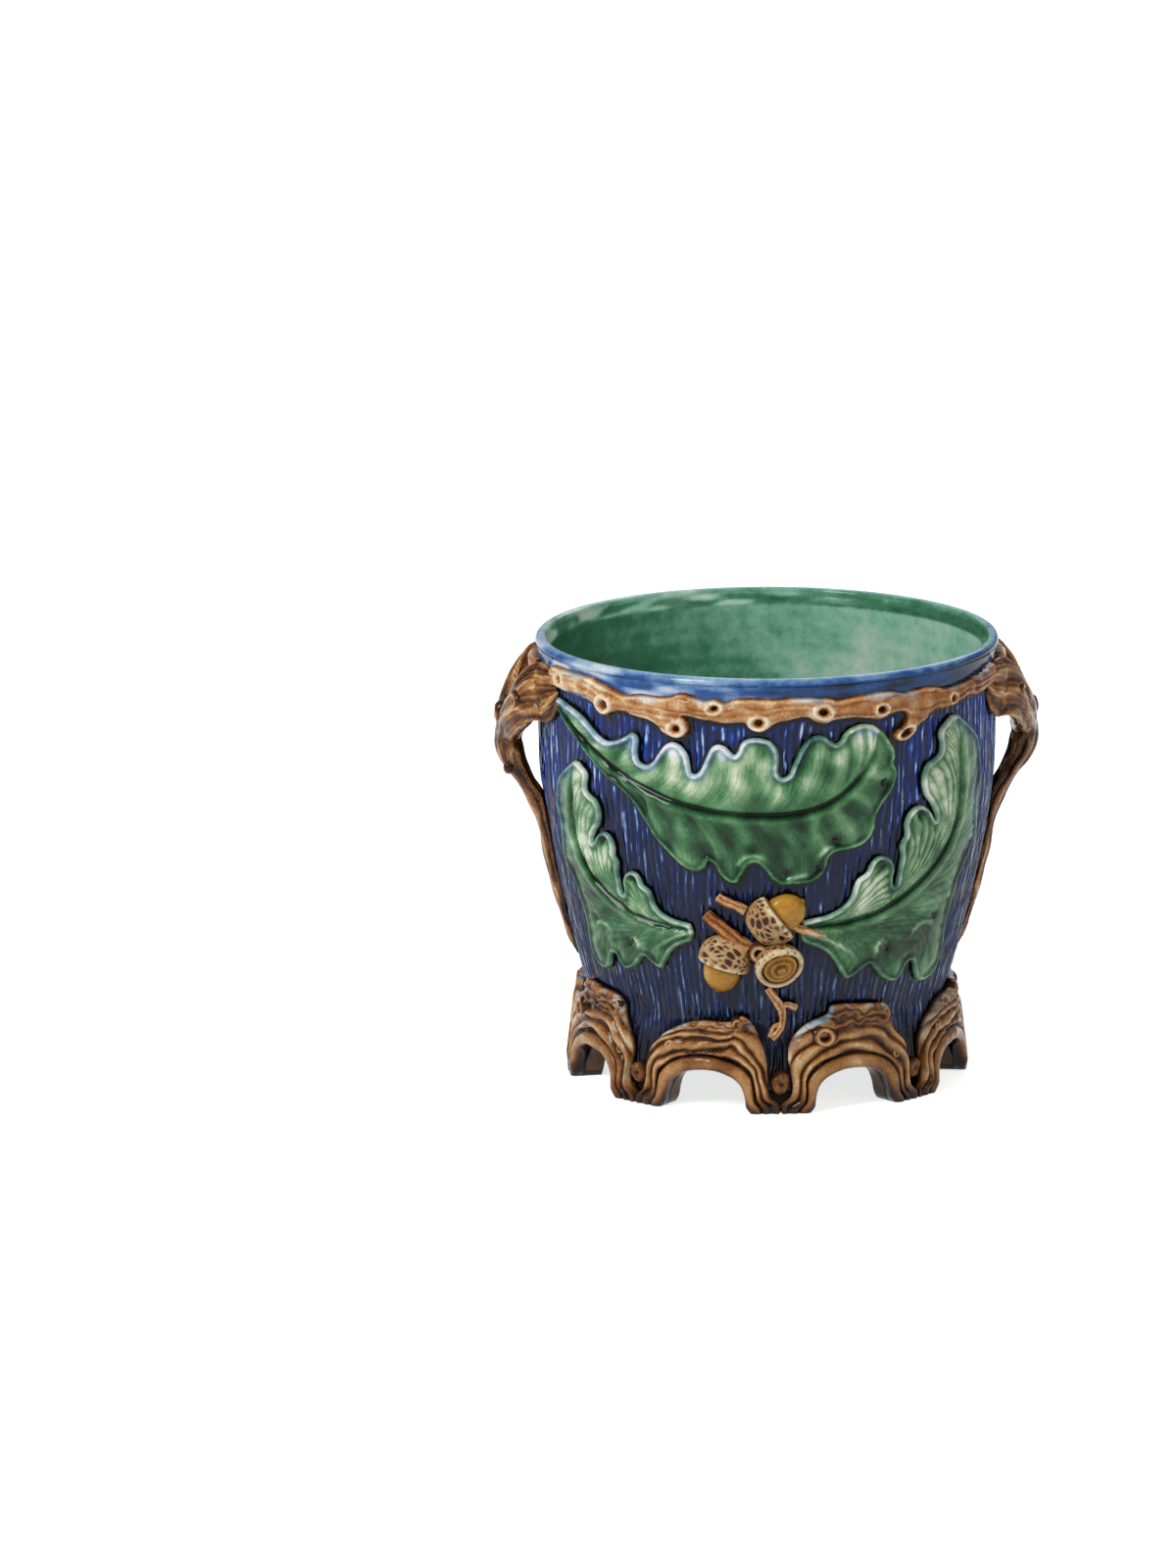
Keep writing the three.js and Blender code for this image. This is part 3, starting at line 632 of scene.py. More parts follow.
UPRIGHT_LEFT = [
    (13, 120, 0), (20, 121.4, 0.035), (26, 122.4, 0.075), (32, 124.8, 0.11), (37.5, 128.3, 0.135),
    (41.5, 133.5, 0.153), (42.8, 139.5, 0.168), (45, 144.6, 0.184), (50, 148.2, 0.202),
    (51.8, 152.6, 0.216), (54.5, 156.3, 0.23), (59.5, 157.7, 0.25), (65, 154.8, 0.272),
    (67.7, 149.5, 0.288), (67.5, 143.5, 0.303), (68.5, 138, 0.325), (70.6, 139, 0.35), (71.6, 147, 0.375),
    (72.2, 156, 0.4), (71, 163, 0.422), (73.6, 169, 0.44), (72.8, 175.5, 0.468), (74.4, 181.3, 0.487),
    (78.5, 185.2, 0.51), (84, 185.5, 0.535), (89.5, 182, 0.558), (93, 176.5, 0.575), (95, 175, 0.588),
    (94.6, 179.5, 0.6), (90.5, 186.5, 0.622), (86, 192, 0.645), (83.8, 199, 0.675), (84.6, 205.4, 0.71),
    (87.5, 210.8, 0.745), (92, 212.7, 0.775), (96.6, 216.2, 0.805), (97.3, 222, 0.84), (96, 227, 0.88),
    (97.5, 231.4, 0.92), (106, 237, 1),
]
UPRIGHT_RIGHT = [
    (11, 113, 0), (12.5, 108, 0.02), (16, 105.6, 0.04), (21.5, 103.4, 0.065), (28, 99.7, 0.09),
    (34, 93.6, 0.12), (38.8, 86.3, 0.15), (43, 81.2, 0.175), (48, 82.2, 0.2), (54, 86.6, 0.225),
    (58.8, 88.8, 0.245), (63, 85.4, 0.262), (68.7, 79.9, 0.283), (76, 75.8, 0.31), (83, 75.2, 0.335),
    (87, 79.5, 0.355), (89, 84.6, 0.372), (92.5, 86.4, 0.388), (96.4, 84, 0.403), (99.4, 77.6, 0.42),
    (104.5, 72, 0.44), (111, 70.4, 0.465), (118, 72.5, 0.49), (123.5, 79, 0.515), (124.5, 90, 0.545),
    (122, 101, 0.57), (122.5, 116, 0.605), (125.5, 130, 0.645), (131, 143, 0.685), (138.5, 153.5, 0.725),
    (139.5, 162, 0.755), (136.5, 172, 0.785), (135, 183, 0.82), (137.5, 193, 0.85), (137.8, 202, 0.88),
    (135, 213, 0.91), (130.5, 222, 0.945), (112, 237, 1),
]
LEAF_CELL = 0.62


def moved(rows):
    """The upright leaf's rows, mirrored and made smaller: the leaf low on the left."""
    return [(-56 - (x - 13) * 0.78, 114 + (y - 117) * 0.78, *rest) for x, y, *rest in rows]


print("rows drawn:", len(BROAD_UPPER) + len(BROAD_LOWER), "and", len(UPRIGHT_LEFT) + len(UPRIGHT_RIGHT))

# %% [markdown]
# ## Where a point lies on its leaf
#
# Every point of the net takes its place along and across from the nearest sample on a rib. Nearest
# samples alone would give small steps, so they are read on a grid of 1 mm first, which is evened out and
# then read in between.


# %% Ribs
def rib_field(midrib, edges, bow, lag):
    """Samples of place along (0 to 1) and across (0 at the midrib, 1 or -1 at the edge) on curved ribs."""
    spine = curve(midrib, 300)
    run = np.gradient(spine, axis=0)
    run /= np.linalg.norm(run, axis=1, keepdims=True)
    places = []
    across = np.linspace(0, 1, 46)[None, :, None]
    for side, rows in zip((1, -1), edges):
        line = smooth(rows, 18)
        s = np.clip(line[:, 2], 0, 1)
        i = np.clip((s - lag * ramp(s, 0, 0.3)) * 299, 0, 299).astype(int)
        root, tip = spine[i], line[:, :2]
        reach = np.linalg.norm(tip - root, axis=1, keepdims=True)
        middle = root + run[i] * reach * bow[0] + (tip - root) * bow[1]
        a, b, c = (p[:, None, :] for p in (root, middle, tip))
        spots = (1 - across) ** 2 * a + 2 * across * (1 - across) * b + across**2 * c
        along = np.broadcast_to(s[:, None, None], spots.shape[:2] + (1,))
        signed = np.broadcast_to(side * across, along.shape)
        places.append(np.concatenate([spots, along, signed], -1).reshape(-1, 4))
    return np.vstack(places)


def evened(values, passes=3):
    for _ in range(passes):
        p = np.pad(values, 1, mode="edge")
        values = (p[:-2, 1:-1] + p[2:, 1:-1] + p[1:-1, :-2] + p[1:-1, 2:] + 2 * p[1:-1, 1:-1]) / 6
    return values


def rib_places(samples, points, pitch=1.0):
    """Place along and across for each point, read from an evened grid of the nearest samples."""
    low, high = points.min(0) - 3, points.max(0) + 3
    counts = np.ceil((high - low) / pitch).astype(int) + 1
    tree = kdtree.KDTree(len(samples))
    for k, sample in enumerate(samples):
        tree.insert((sample[0], sample[1], 0), k)
    tree.balance()
    found = np.empty((counts[0], counts[1], 2))
    for i, j in np.ndindex(*counts):
        k = tree.find((low[0] + pitch * i, low[1] + pitch * j, 0))[1]
        found[i, j] = samples[k, 2:]
    u, v = ((points - low) / pitch).T
    i, j = u.astype(int), v.astype(int)
    fu, fv = u - i, v - j

    def between(field):
        return (
            field[i, j] * (1 - fu) * (1 - fv) + field[i + 1, j] * fu * (1 - fv)
            + field[i, j + 1] * (1 - fu) * fv + field[i + 1, j + 1] * fu * fv
        )

    return between(evened(found[..., 0])), between(evened(found[..., 1]))


samples = rib_field(BROAD_MIDRIB, (BROAD_UPPER, BROAD_LOWER), (0.34, 0.42), 0.02)
print("rib samples of the broad leaf:", len(samples))

# %% [markdown]
# ## The leaf in clay
#
# The height adds up what a modeller does: a domed blade that rises from the edge, a bead along the edge,
# folds and combed ribs, the midrib's groove, curls, veins and hollows. The tone follows each of them by
# its own share, so crests run pale and hollows dark.


# %% Marks, and a leaf
def spots_at(points, spots):
    """1 in the middle of each round spot (x, y, radius), fading to 0 outside it."""
    total = np.zeros(len(points))
    for x, y, radius in spots:
        total += bell(np.hypot(points[:, 0] - x, points[:, 1] - y), radius)
    return np.clip(total, 0, 1)


def lines_at(points, lines, width):
    """1 on each drawn line of points, fading to 0 beside it and towards its end."""
    total = np.zeros(len(points))
    for line in lines:
        gap, _, place, _ = measure(curve(line, 40), points, closed=False)
        total += bell(gap, width) * ramp(1 - place, -0.1, 0.35)
    return np.clip(total, 0, 1)


def make_leaf(midrib, upper, lower, seed, edge_glaze_and_glints, bow, lag, folds, combed, slant, curls=(), veins=(),
              hollows=(), blue=()):
    points, faces, gap = net(outline_of(upper, lower), LEAF_CELL)
    along, across = rib_places(rib_field(midrib, (upper, lower), bow, lag), points)
    from_rib, _, rib_place, _ = measure(curve(midrib, 160), points, closed=False)
    upper_side = ramp(across, -0.05, 0.05)
    reach = np.abs(across)
    x, y = points.T
    wander = ripple(x / 26, y / 26, seed)
    cloud = ripple(x / 11, y / 11, seed + 1)
    brushed = ripple(150 * along, 2.2 * across, seed + 2)
    uneven = ramp(ripple(x / 6, y / 6, seed + 3), -0.9, 0.9)
    swell = 1 - np.exp(-gap / 9)
    inward = ramp(reach, 0.03, 0.3) * ramp(gap, 1.2, 4.5)
    tips = ramp(along, -0.02, 0.06) * ramp(1 - along, -0.03, 0.05)
    fold_count, fold_rise = folds
    fold = np.sin(2 * math.pi * (fold_count * along + 0.35 * wander)) * inward * fold_rise
    comb_count, comb_rise = combed
    comb = np.abs(np.sin(math.pi * (comb_count * (along - slant * reach) + 0.5 * wander))) ** 0.6 - 0.7
    comb *= inward * comb_rise * (0.35 + 0.65 * upper_side) * (1 + 0.4 * cloud)
    groove = bell(from_rib, 1.55) * ramp(gap, 2, 6) * ramp(1 - rib_place, 0.03, 0.16)
    ridge = bell(from_rib - 4.4, 2.1) * (1 - upper_side) * ramp(gap, 2, 6)
    curl = lines_at(points, curls, 1.7)
    vein = lines_at(points, veins, 1.2)
    hollow = spots_at(points, hollows)
    off = (
        3.2 + 1.9 * swell + (1.1 + 0.7 * uneven) * bell(gap - 1.5, 1.25) * (0.6 + 0.4 * upper_side)
        - 0.6 * bell(gap - 4.8, 2.4) + 0.55 * wander * swell
        + fold + comb - 1.7 * groove + 0.9 * ridge + 1.5 * curl + 0.8 * vein - 1.7 * hollow
    )
    off -= 0.55 * (1 - np.clip(gap / 0.9, 0, 1)) ** 2
    off *= 0.72 + 0.28 * tips
    crest = bell(gap - 1.15, 0.6 + 0.4 * uneven) * (0.3 + 0.7 * uneven) * (0.7 + 0.3 * upper_side)
    tone = (
        0.46 + 0.15 * upper_side + 0.12 * wander + 0.09 * cloud + 0.07 * brushed * inward
        + 0.09 * ramp(along, 0.7, 1) + 0.38 * crest - 0.16 * bell(gap - 3.3, 1.3)
        + 0.16 * bell(gap - 8, 5) * upper_side
        + 0.2 * fold + 0.34 * comb - 0.4 * groove + 0.16 * ridge - 0.06 * (1 - upper_side) * swell
        + 0.36 * curl + 0.32 * vein - 0.42 * hollow
    )
    # the wash: blue glaze, and on the broad leaf also a painted highlight on the upper edges
    wash = np.clip(edge_glaze_and_glints(points, gap, upper_side) + spots_at(points, blue), 0, 1)
    return cut_relief(points, faces, off, np.clip(tone, 0, 1), wash)


def blue_glaze_and_glints_high(points, gap, upper_side):
    """Blue glaze and a painted highlight on the rolled edges of the upper lobes, more of it to the left."""
    left = ramp(-points[:, 0], -50, 70)
    return bell(gap - 1.2, 2.2) * upper_side * (0.12 + 0.98 * left)


def frost_edge(points, gap, upper_side):
    """A thin pale edge, and a grey bloom on the outer margin where the leaf climbs."""
    bloom = 0.5 * bell(gap - 2, 5) * (1 - upper_side) * ramp(points[:, 1], 120, 190)
    return 0.4 * bell(gap - 0.8, 1.2) * (0.3 + 0.7 * upper_side) + bloom


half_way = spots_at(np.array([[1.5, 0]]), [(0, 0, 3)])
print("a mark of 3 mm is", half_way.round(2), "strong 1.5 mm from its middle")

# %% [markdown]
# ## The three leaves of each face
#
# The broad leaf has few, low folds and a fine comb. The upright and the low leaf have ribs that sweep far
# up the blade, and deeper combing. The curls, veins and hollows are the places where a tool or a thumb
# went.

# %% Leaves on the wall
broad = make_leaf(
    BROAD_MIDRIB, BROAD_UPPER, BROAD_LOWER, 11, blue_glaze_and_glints_high, (0.34, 0.42), 0.02, (13, 0.6), (64, 0.2), 0.03,
    curls=[[(3.6, 146.7), (9, 149.4), (15.8, 150.6)], [(28, 167), (24, 165.5), (21, 162), (19.3, 158)],
           [(-24.5, 157), (-21, 161), (-16.5, 162.5), (-12, 161), (-9, 157)]],
    hollows=[(21.7, 153.6, 2.6), (29.5, 170.5, 3.2), (-17, 165.5, 3.6), (2.5, 151.5, 3), (57.5, 204, 2.6)],
    blue=[(43, 236.5, 2.2), (49.5, 235.5, 2.6), (-61, 224, 3), (-86, 226, 3.4), (-33, 224, 2.6)])
UPRIGHT = (UPRIGHT_MIDRIB, UPRIGHT_LEFT, UPRIGHT_RIGHT)
UPRIGHT_BLADE = {"edge_glaze_and_glints": frost_edge, "bow": (0.85, 0.1), "lag": 0.2, "folds": (9, 0.25), "slant": 0.3}
CURLS = [[(62.5, 103), (60.6, 99.2), (61.4, 94.5)], [(101.9, 110.4), (94, 111.5), (88, 108), (85.9, 103)]]
VEINS = [[(12, 114), (27, 108), (37, 102.5), (48, 94.5)]]
HOLLOWS = [(69.5, 99, 3.4), (104.5, 113.5, 3.2), (58.5, 152.2, 3.2), (84, 180, 3.4)]
upright = make_leaf(
    *UPRIGHT, 12, combed=(26, 1.0), curls=CURLS, veins=VEINS, hollows=HOLLOWS, **UPRIGHT_BLADE)
low_leaf = make_leaf(
    *(moved(rows) for rows in UPRIGHT), 13, combed=(25, 0.9), curls=[moved(line) for line in CURLS],
    veins=[moved(line) for line in VEINS], hollows=moved(HOLLOWS), **UPRIGHT_BLADE)
for face, turn in FACES:
    for kind, leaf in (("broad", broad), ("upright", upright), ("low", low_leaf)):
        lay_relief(f"oak_leaf_{kind}_{face}", leaf, turn, LEAF, "leaf_green", f"leaf_{kind}_{face}")

# %% [markdown]
# ## Bark: strands that run along a branch
#
# Roots, twigs and handles all wear the same bark: rounded strands side by side with sharp dark grooves
# between them, wandering and joining as they run. The bent top of a sine wave has that section: `strand`
# is 1 on a strand's crest and 0 in the groove. A branch is a tube through a few chosen places, with the
# strands added to its radius, and a cut end is a ring of bark round a hollow.


# %% Strands and branches
def strand(across, along, seed, wander=0.35):
    """Crest (1) and groove (0) of strands one unit wide, wandering as they run."""
    slow, quick = ripple(across * 0.5, along, seed), ripple(across, 3 * along, seed + 1)
    return np.abs(np.sin(math.pi * (across + wander * slow + 0.5 * wander * quick))) ** 0.65


def axes_along(middle):
    """Ahead, beside and above at each point of a line, and the length of each step."""
    run = np.gradient(middle, axis=0)
    step = np.linalg.norm(run, axis=1, keepdims=True)
    run /= step
    side = np.cross(run, (0, 0, 1))
    side /= np.linalg.norm(side, axis=1, keepdims=True)
    return run, side, np.cross(side, run), step[:, 0]


# rings past the end of a branch: how far out, their size, and how much paler they are
CUT_END = [(0.5, 1.1, 0.1), (1.0, 0.98, 0.3), (1.1, 0.72, 0.3), (0.3, 0.5, -0.45), (-0.6, 0.2, -0.5)]
ROUND_END = [(0.35, 0.86, 0.0), (0.6, 0.55, -0.05), (0.68, 0.25, -0.05)]
DEEPEST = -2.0


def branch(path, rows, around, seed, strands=6, rough=0.1, ends=CUT_END, tone=0.5):
    """A bark branch through (x, y, off the wall, half width, half depth), in drawing millimetres."""
    line = curve(path, rows)
    middle, width, depth = line[:, :3], line[:, 3:4], line[:, 4:5]
    run, side, up, _ = axes_along(middle)
    angle = (np.arange(around) + 0.5) / around * 2 * math.pi
    cos, sin = np.cos(angle)[:, None], np.sin(angle)[:, None]
    length = np.linalg.norm(np.diff(middle, axis=0), axis=1).sum()
    along = np.linspace(0, length, rows)[:, None] / 16
    bark = strand(strands * angle[None] / (2 * math.pi), along, seed)
    swell = 1 + rough * (bark - 0.6) + 0.06 * ripple(along, angle[None] / 2, seed + 5)
    rings = [m + (w * cos * s + d * sin * u) * k[:, None]
             for m, w, d, s, u, k in zip(middle, width, depth, side, up, swell)]
    tones = [tone - 0.3 + 0.5 * row for row in bark]
    last = min(float(width[-1, 0]), float(depth[-1, 0]))
    for out, size, light in ends:
        shape = width[-1] * cos * side[-1] + depth[-1] * sin * up[-1]
        rings.append(middle[-1] + run[-1] * out * last * 0.6 + shape * size * swell[-1][:, None])
        tones.append(np.full(around, tone + light))
    clay = tube(np.array(rings), np.clip(np.array(tones), 0, 1))
    clay.points[:, 2] = np.maximum(clay.points[:, 2], DEEPEST)
    return clay


print("a groove is", strand(np.array(0.0), np.array(0.0), 1, wander=0), "and a crest 1")

# %% [markdown]
# ## The twig band under the lip
#
# A knotty twig runs round under the lip, pressed in a mould with its stubs and knots in one. So it is cut
# from an outline as the leaves are, with two wandering edges that swing out round each knot, a stub that
# hangs to the left and a hook that is cut off slantwise. Its height is a dome over the distance to the
# edge, with strands of bark along it; each knot is a ring with a hole. Behind each handle a short plain
# length closes the ring.

# %% Band outline and knots
BAND_UPPER = [
    (-157, 261.5), (-140, 262), (-118, 261.5), (-108.7, 259.4), (-99.7, 257), (-91.3, 254.6),
    (-81.6, 256.6), (-65, 257), (-57, 259.8), (-50, 258.6), (-43.8, 256.6), (-38, 257.8), (-32, 256),
    (-26, 258), (-17.5, 258.6), (-6, 258.2), (8.7, 259.2), (25, 258.1), (29.7, 256.7), (36, 257.7),
    (47.5, 258.8), (57, 259.5), (66.7, 258.3), (73, 257), (83, 258.2), (91, 257.7), (99, 255.8),
    (113.5, 255.6), (134, 257.5), (157, 259.5),
]
BAND_LOWER = [
    (-157, 250), (-140, 249), (-127, 249.5), (-115.6, 247), (-109, 242.4), (-104.4, 241), (-100, 243.8),
    (-91.4, 244.7), (-83.3, 242.8), (-77, 242), (-71, 239.4), (-66, 234), (-59.4, 232.4), (-53.4, 235.4),
    (-51.8, 239.5), (-53.8, 243.7), (-55.6, 246), (-50.8, 246.2), (-42.5, 244.5), (-31, 243.2),
    (-22.2, 243.6), (-18.4, 240.9), (-13, 238), (-8, 240.4), (-4, 243.4), (0.4, 244.9), (11.8, 247),
    (17, 244), (22.4, 242.3), (28.5, 244.5), (39.4, 245), (47.6, 243.8), (54.6, 242.4), (61.4, 244.8),
    (68, 245.6), (71.6, 244.2), (72, 241), (69.4, 237.4), (65.6, 234.2), (64, 230.6), (67.4, 228.4),
    (73, 229.4), (78, 233), (82, 236.6), (87, 239.6), (92.5, 242.6), (99, 242.8), (104.5, 242.6),
    (112.4, 244.4), (122, 246), (134.8, 244.6), (157, 248.5),
]
KNOT_RINGS = [  # x, y, outer and hole radius, and for a slanting cut its turn in degrees and its flatness
    (-142, 256, 5, 2.2, 0, 1), (-104.6, 247.6, 6, 3, 0, 1), (-58.4, 238.8, 5.6, 2.2, 0, 1),
    (-37.1, 252.6, 5.4, 2.2, 20, 0.8), (-13.3, 244.4, 6, 2.9, 10, 0.86), (21.4, 250.2, 6.3, 2.9, -15, 0.8),
    (54.6, 249.2, 4.8, 2.4, 0, 0.9), (104, 248.8, 4, 1.9, 0, 1), (70.4, 232.9, 6.4, 3.9, 32, 0.56),
]
BAND_LIFT = 6
print("knots on the band:", len(KNOT_RINGS))


# %% Band
def swung(x, y, degrees):
    """(x, y) turned round the origin."""
    a = math.radians(degrees)
    return x * math.cos(a) - y * math.sin(a), x * math.sin(a) + y * math.cos(a)


def knot_rings(points, rings):
    """How much each point is on a knot's ring and in its hole, and how near it is to one."""
    ring, hole, near = np.zeros((3, len(points)))
    for x, y, outer, inner, turn, flat in rings:
        long, short = swung(points[:, 0] - x, points[:, 1] - y, -turn)
        out = np.hypot(long, short / flat)
        ring += bell(out - 0.55 * (outer + inner), 0.42 * (outer - inner))
        hole += 1 - ramp(out, 0.4 * inner, 1.05 * inner)
        near += 1 - ramp(out, 0.9 * outer, 1.25 * outer)
    return ring, hole, np.clip(near, 0, 1)


def band(upper, lower, rings, seed):
    points, faces, gap = net(outline_of(upper, lower), LEAF_CELL)
    x, y = points.T
    middle = 0.5 * (np.interp(x, *np.transpose(upper)) + np.interp(x, *np.transpose(lower)))
    middle = np.maximum(middle, 249)
    ring, hole, near = knot_rings(points, rings)
    dome = np.sqrt(1 - (1 - np.clip(gap / 5.2, 0, 1)) ** 2)
    bark = strand((y - middle) / 5.2 + 0.3, x / 30, seed + 2, wander=0.5)
    fine = strand((y - middle) / 1.9, x / 13, seed + 3)
    lumps = ripple(x / 7, y / 5, seed + 4)
    rough = 1.1 * (bark - 0.7) + 0.22 * (fine - 0.6) + 0.35 * lumps
    plain = 0.9 + (BAND_LIFT - 1.2) * dome + rough * (1 - near)
    off = np.maximum(plain, near * (BAND_LIFT - 1.4)) + 1.7 * ring - 3.4 * hole
    off -= 0.5 * (1 - np.clip(gap / 0.9, 0, 1)) ** 2
    # painted light, in part: paler to the left, towards the window lamp, and darker to the right; the rest
    # of the change is the glaze's own
    light = 0.16 * ramp(-x, 30, 130) - 0.16 * ramp(x, 20, 110)
    tone = (
        0.3 + light + 0.2 * bark + 0.06 * fine + 0.12 * dome + 0.1 * ripple(x / 9, y / 4, seed + 6)
        + 0.22 * bell(gap - 1.3, 0.9) + 0.4 * ring - 0.6 * hole - 0.3 * bell(gap, 0.5)
    )
    top = ramp(y - middle, 2.5, 5.5)
    wash = 0.75 * top * ramp(ripple(x / 15, 0 * x, seed + 7), -0.3, 0.6) * (1 - near)
    return cut_relief(points, faces, off, np.clip(tone, 0, 1), wash)


knotty_band = band(BAND_UPPER, BAND_LOWER, KNOT_RINGS, 21)
plain_band = band([(-16, 259.5), (0, 260), (16, 259.5)], [(-16, 248.5), (0, 248), (16, 248.5)], [], 24)
for clay, places in ((knotty_band, FACES), (plain_band, SIDES)):
    for place, turn in places:
        lay_relief(f"band_{place}", clay, turn, HONEY, "twig_band", f"twig_band_{place}")

# %% [markdown]
# ## The root foot
#
# The foot is a ring with eight arches cut out of it, and over each arch lies a root: a smooth roll round
# the opening, then strands, nearly four at the top, that draw together into the feet. Tall arches end in
# a sawn stump and low ones in a snag. A root is a grid between the arch's curve and an outer curve, so
# its strands follow the bend by themselves.

# %% Arch and root curves
ARCH_COUNT = 8
ARCH_HALF_WIDTH = 27
ARCH_HEIGHT = 24.8
ROOT_LIFT = 8
HALF_PITCH = math.pi * DRAWN_RADIUS / ARCH_COUNT
ARCH = [(-1.13, 0), (-1.03, 0.14), (-1, 0.36), (-0.9, 0.64), (-0.68, 0.84), (-0.36, 0.96), (0, 1),
        (0.36, 0.96), (0.68, 0.84), (0.9, 0.64), (1, 0.36), (1.03, 0.14), (1.13, 0)]
ARCH = [(x * ARCH_HALF_WIDTH, y * ARCH_HEIGHT) for x, y in ARCH]
FOOT_SIDE = [(HALF_PITCH - 0.36, 0), (HALF_PITCH - 0.6, 5), (HALF_PITCH - 6.8, 10), (HALF_PITCH - 8, 17)]
LEFT_SIDE = [(-x, y) for x, y in FOOT_SIDE]
TALL_ROOT = LEFT_SIDE + [
    (-43.4, 25), (-45, 33), (-43, 43), (-33, 52.5), (-18, 58), (-14, 64), (8, 63), (28, 60), (33.5, 48),
    (40, 38), (43.6, 29),
] + FOOT_SIDE[::-1]
LOW_ROOT = LEFT_SIDE + [
    (-43, 25), (-41, 34), (-33, 43), (-20, 50), (-5, 54), (12, 54), (21, 55.5), (24, 58.5), (29, 56),
    (35, 48), (40.5, 34),
] + FOOT_SIDE[::-1]
ARCH_TURNS = [(k + 0.5) * 2 * math.pi / ARCH_COUNT for k in range(ARCH_COUNT)]
print("an arch is", 2 * ARCH_HALF_WIDTH, "mm wide; from one to the next", round(2 * HALF_PITCH, 1), "mm")


# %% Roots
def root_arch(outer, seed, shouldered):
    rows, columns = 250, 66
    inner, outside = curve(ARCH, rows), curve(outer, rows)
    t = np.linspace(0, 1, columns)[None] ** 0.94
    s = np.linspace(0, 1, rows)[:, None]
    x = inner[:, :1] + (outside[:, :1] - inner[:, :1]) * t
    y = inner[:, 1:2] + (outside[:, 1:2] - inner[:, 1:2]) * t
    width = np.hypot(*(outside - inner).T)[:, None]
    apex = ramp(np.minimum(s, 1 - s), 0.08, 0.36)
    roll_share = np.clip(9.5 / width, 0.22, 0.42)
    in_roll = np.clip(t / roll_share, 0, 1)
    roll = np.sqrt(np.clip(1 - (2 * in_roll - 1) ** 2, 0, 1))
    over = np.clip((t - roll_share) / (1 - roll_share), 0, 1)
    bark = strand((1.6 + 2.2 * apex) * over + 0.12, s * 5, seed, wander=0.3) ** 1.35
    fine = strand(9 * over, s * 9, seed + 3)
    block = ramp(y, 46, 53) * apex  # the rough top, with its grain across
    grain = strand(y / 4.6, x / 15, seed + 8, wander=0.75)
    bark = bark * (1 - block) + (0.35 + 0.65 * grain) * block
    edge = ramp(1 - over, 0.0, 0.1)
    lumps = ripple(x / 7, y / 7, seed + 5)
    body = np.where(in_roll < 1, 0.5 + 0.46 * roll, 0.58 + 0.34 * bark + 0.02 * fine * apex)
    off = ROOT_LIFT * body * (0.5 + 0.5 * edge) + 0.4 * lumps * apex
    off *= np.minimum(1, 0.74 + 3.2 * np.minimum(s, 1 - s))
    groove = bell((t - roll_share) * width, 1.0)
    off -= 1.7 * groove * (0.35 + 0.65 * apex)
    tone = np.where(in_roll < 1, 0.3 + 0.36 * roll, 0.08 + 0.6 * bark + 0.08 * fine)
    tone = tone + (0.2 * bell(over - 0.96, 0.05) - 0.12 * block) * (in_roll >= 1) - 0.42 * groove
    tone = tone + 0.09 * ripple(s * 5, over * 2, seed + 6) + 0.06 * lumps
    spotted = ramp(ripple(x / 5, y / 4, seed + 7), 0.15, 0.7) * ramp(over, 0.86, 0.97)
    # darker towards the foot of each root, and less so on the roll round the opening
    darker_towards_foot = 0.3 + 0.7 * ramp(y + 9 * in_roll * (in_roll < 1), 3, 14)
    tone = tone * darker_towards_foot
    shoulder = ramp(over, 0.84, 0.94) * ramp(-x, 12, 17) * ramp(x, -44, -38) * shouldered
    wash = np.clip(0.8 * spotted + shoulder, 0, 1) * apex
    return strip(x, y, off, np.clip(tone + 0.12 * shoulder, 0, 1), wash * (in_roll >= 1))


ROOTS = (root_arch(TALL_ROOT, 31, 1.0), root_arch(LOW_ROOT, 41, 0.4))
for k, turn in enumerate(ARCH_TURNS):
    lay_relief(f"root_arch_{k + 1}_glazed", ROOTS[k % 2], turn, BARK, "root_bark", f"root_arch_{k + 1}")

# %% [markdown]
# ## The ring behind the roots
#
# The ring carries the roots and the pot, and through the arches its underside shows golden. It is a loop
# of sections: at each place round the pot the section's lower edge stands on the table or is lifted to
# the arch above it, so one closed skin has all eight openings and no cut has to be cleaned up. Its
# outside stays a little behind the wall's formula, because the combed ground runs down over it between
# the roots.

# %% Foot ring
SPIGOT = WAIST - 6.5
FLOOR_HEIGHT = 44
FOOT_INNER = WAIST + FOOT_SPREAD - 13
SLIP = 0.4
LIP_OF_ARCH = 1.6  # how far the underside is rounded over an opening


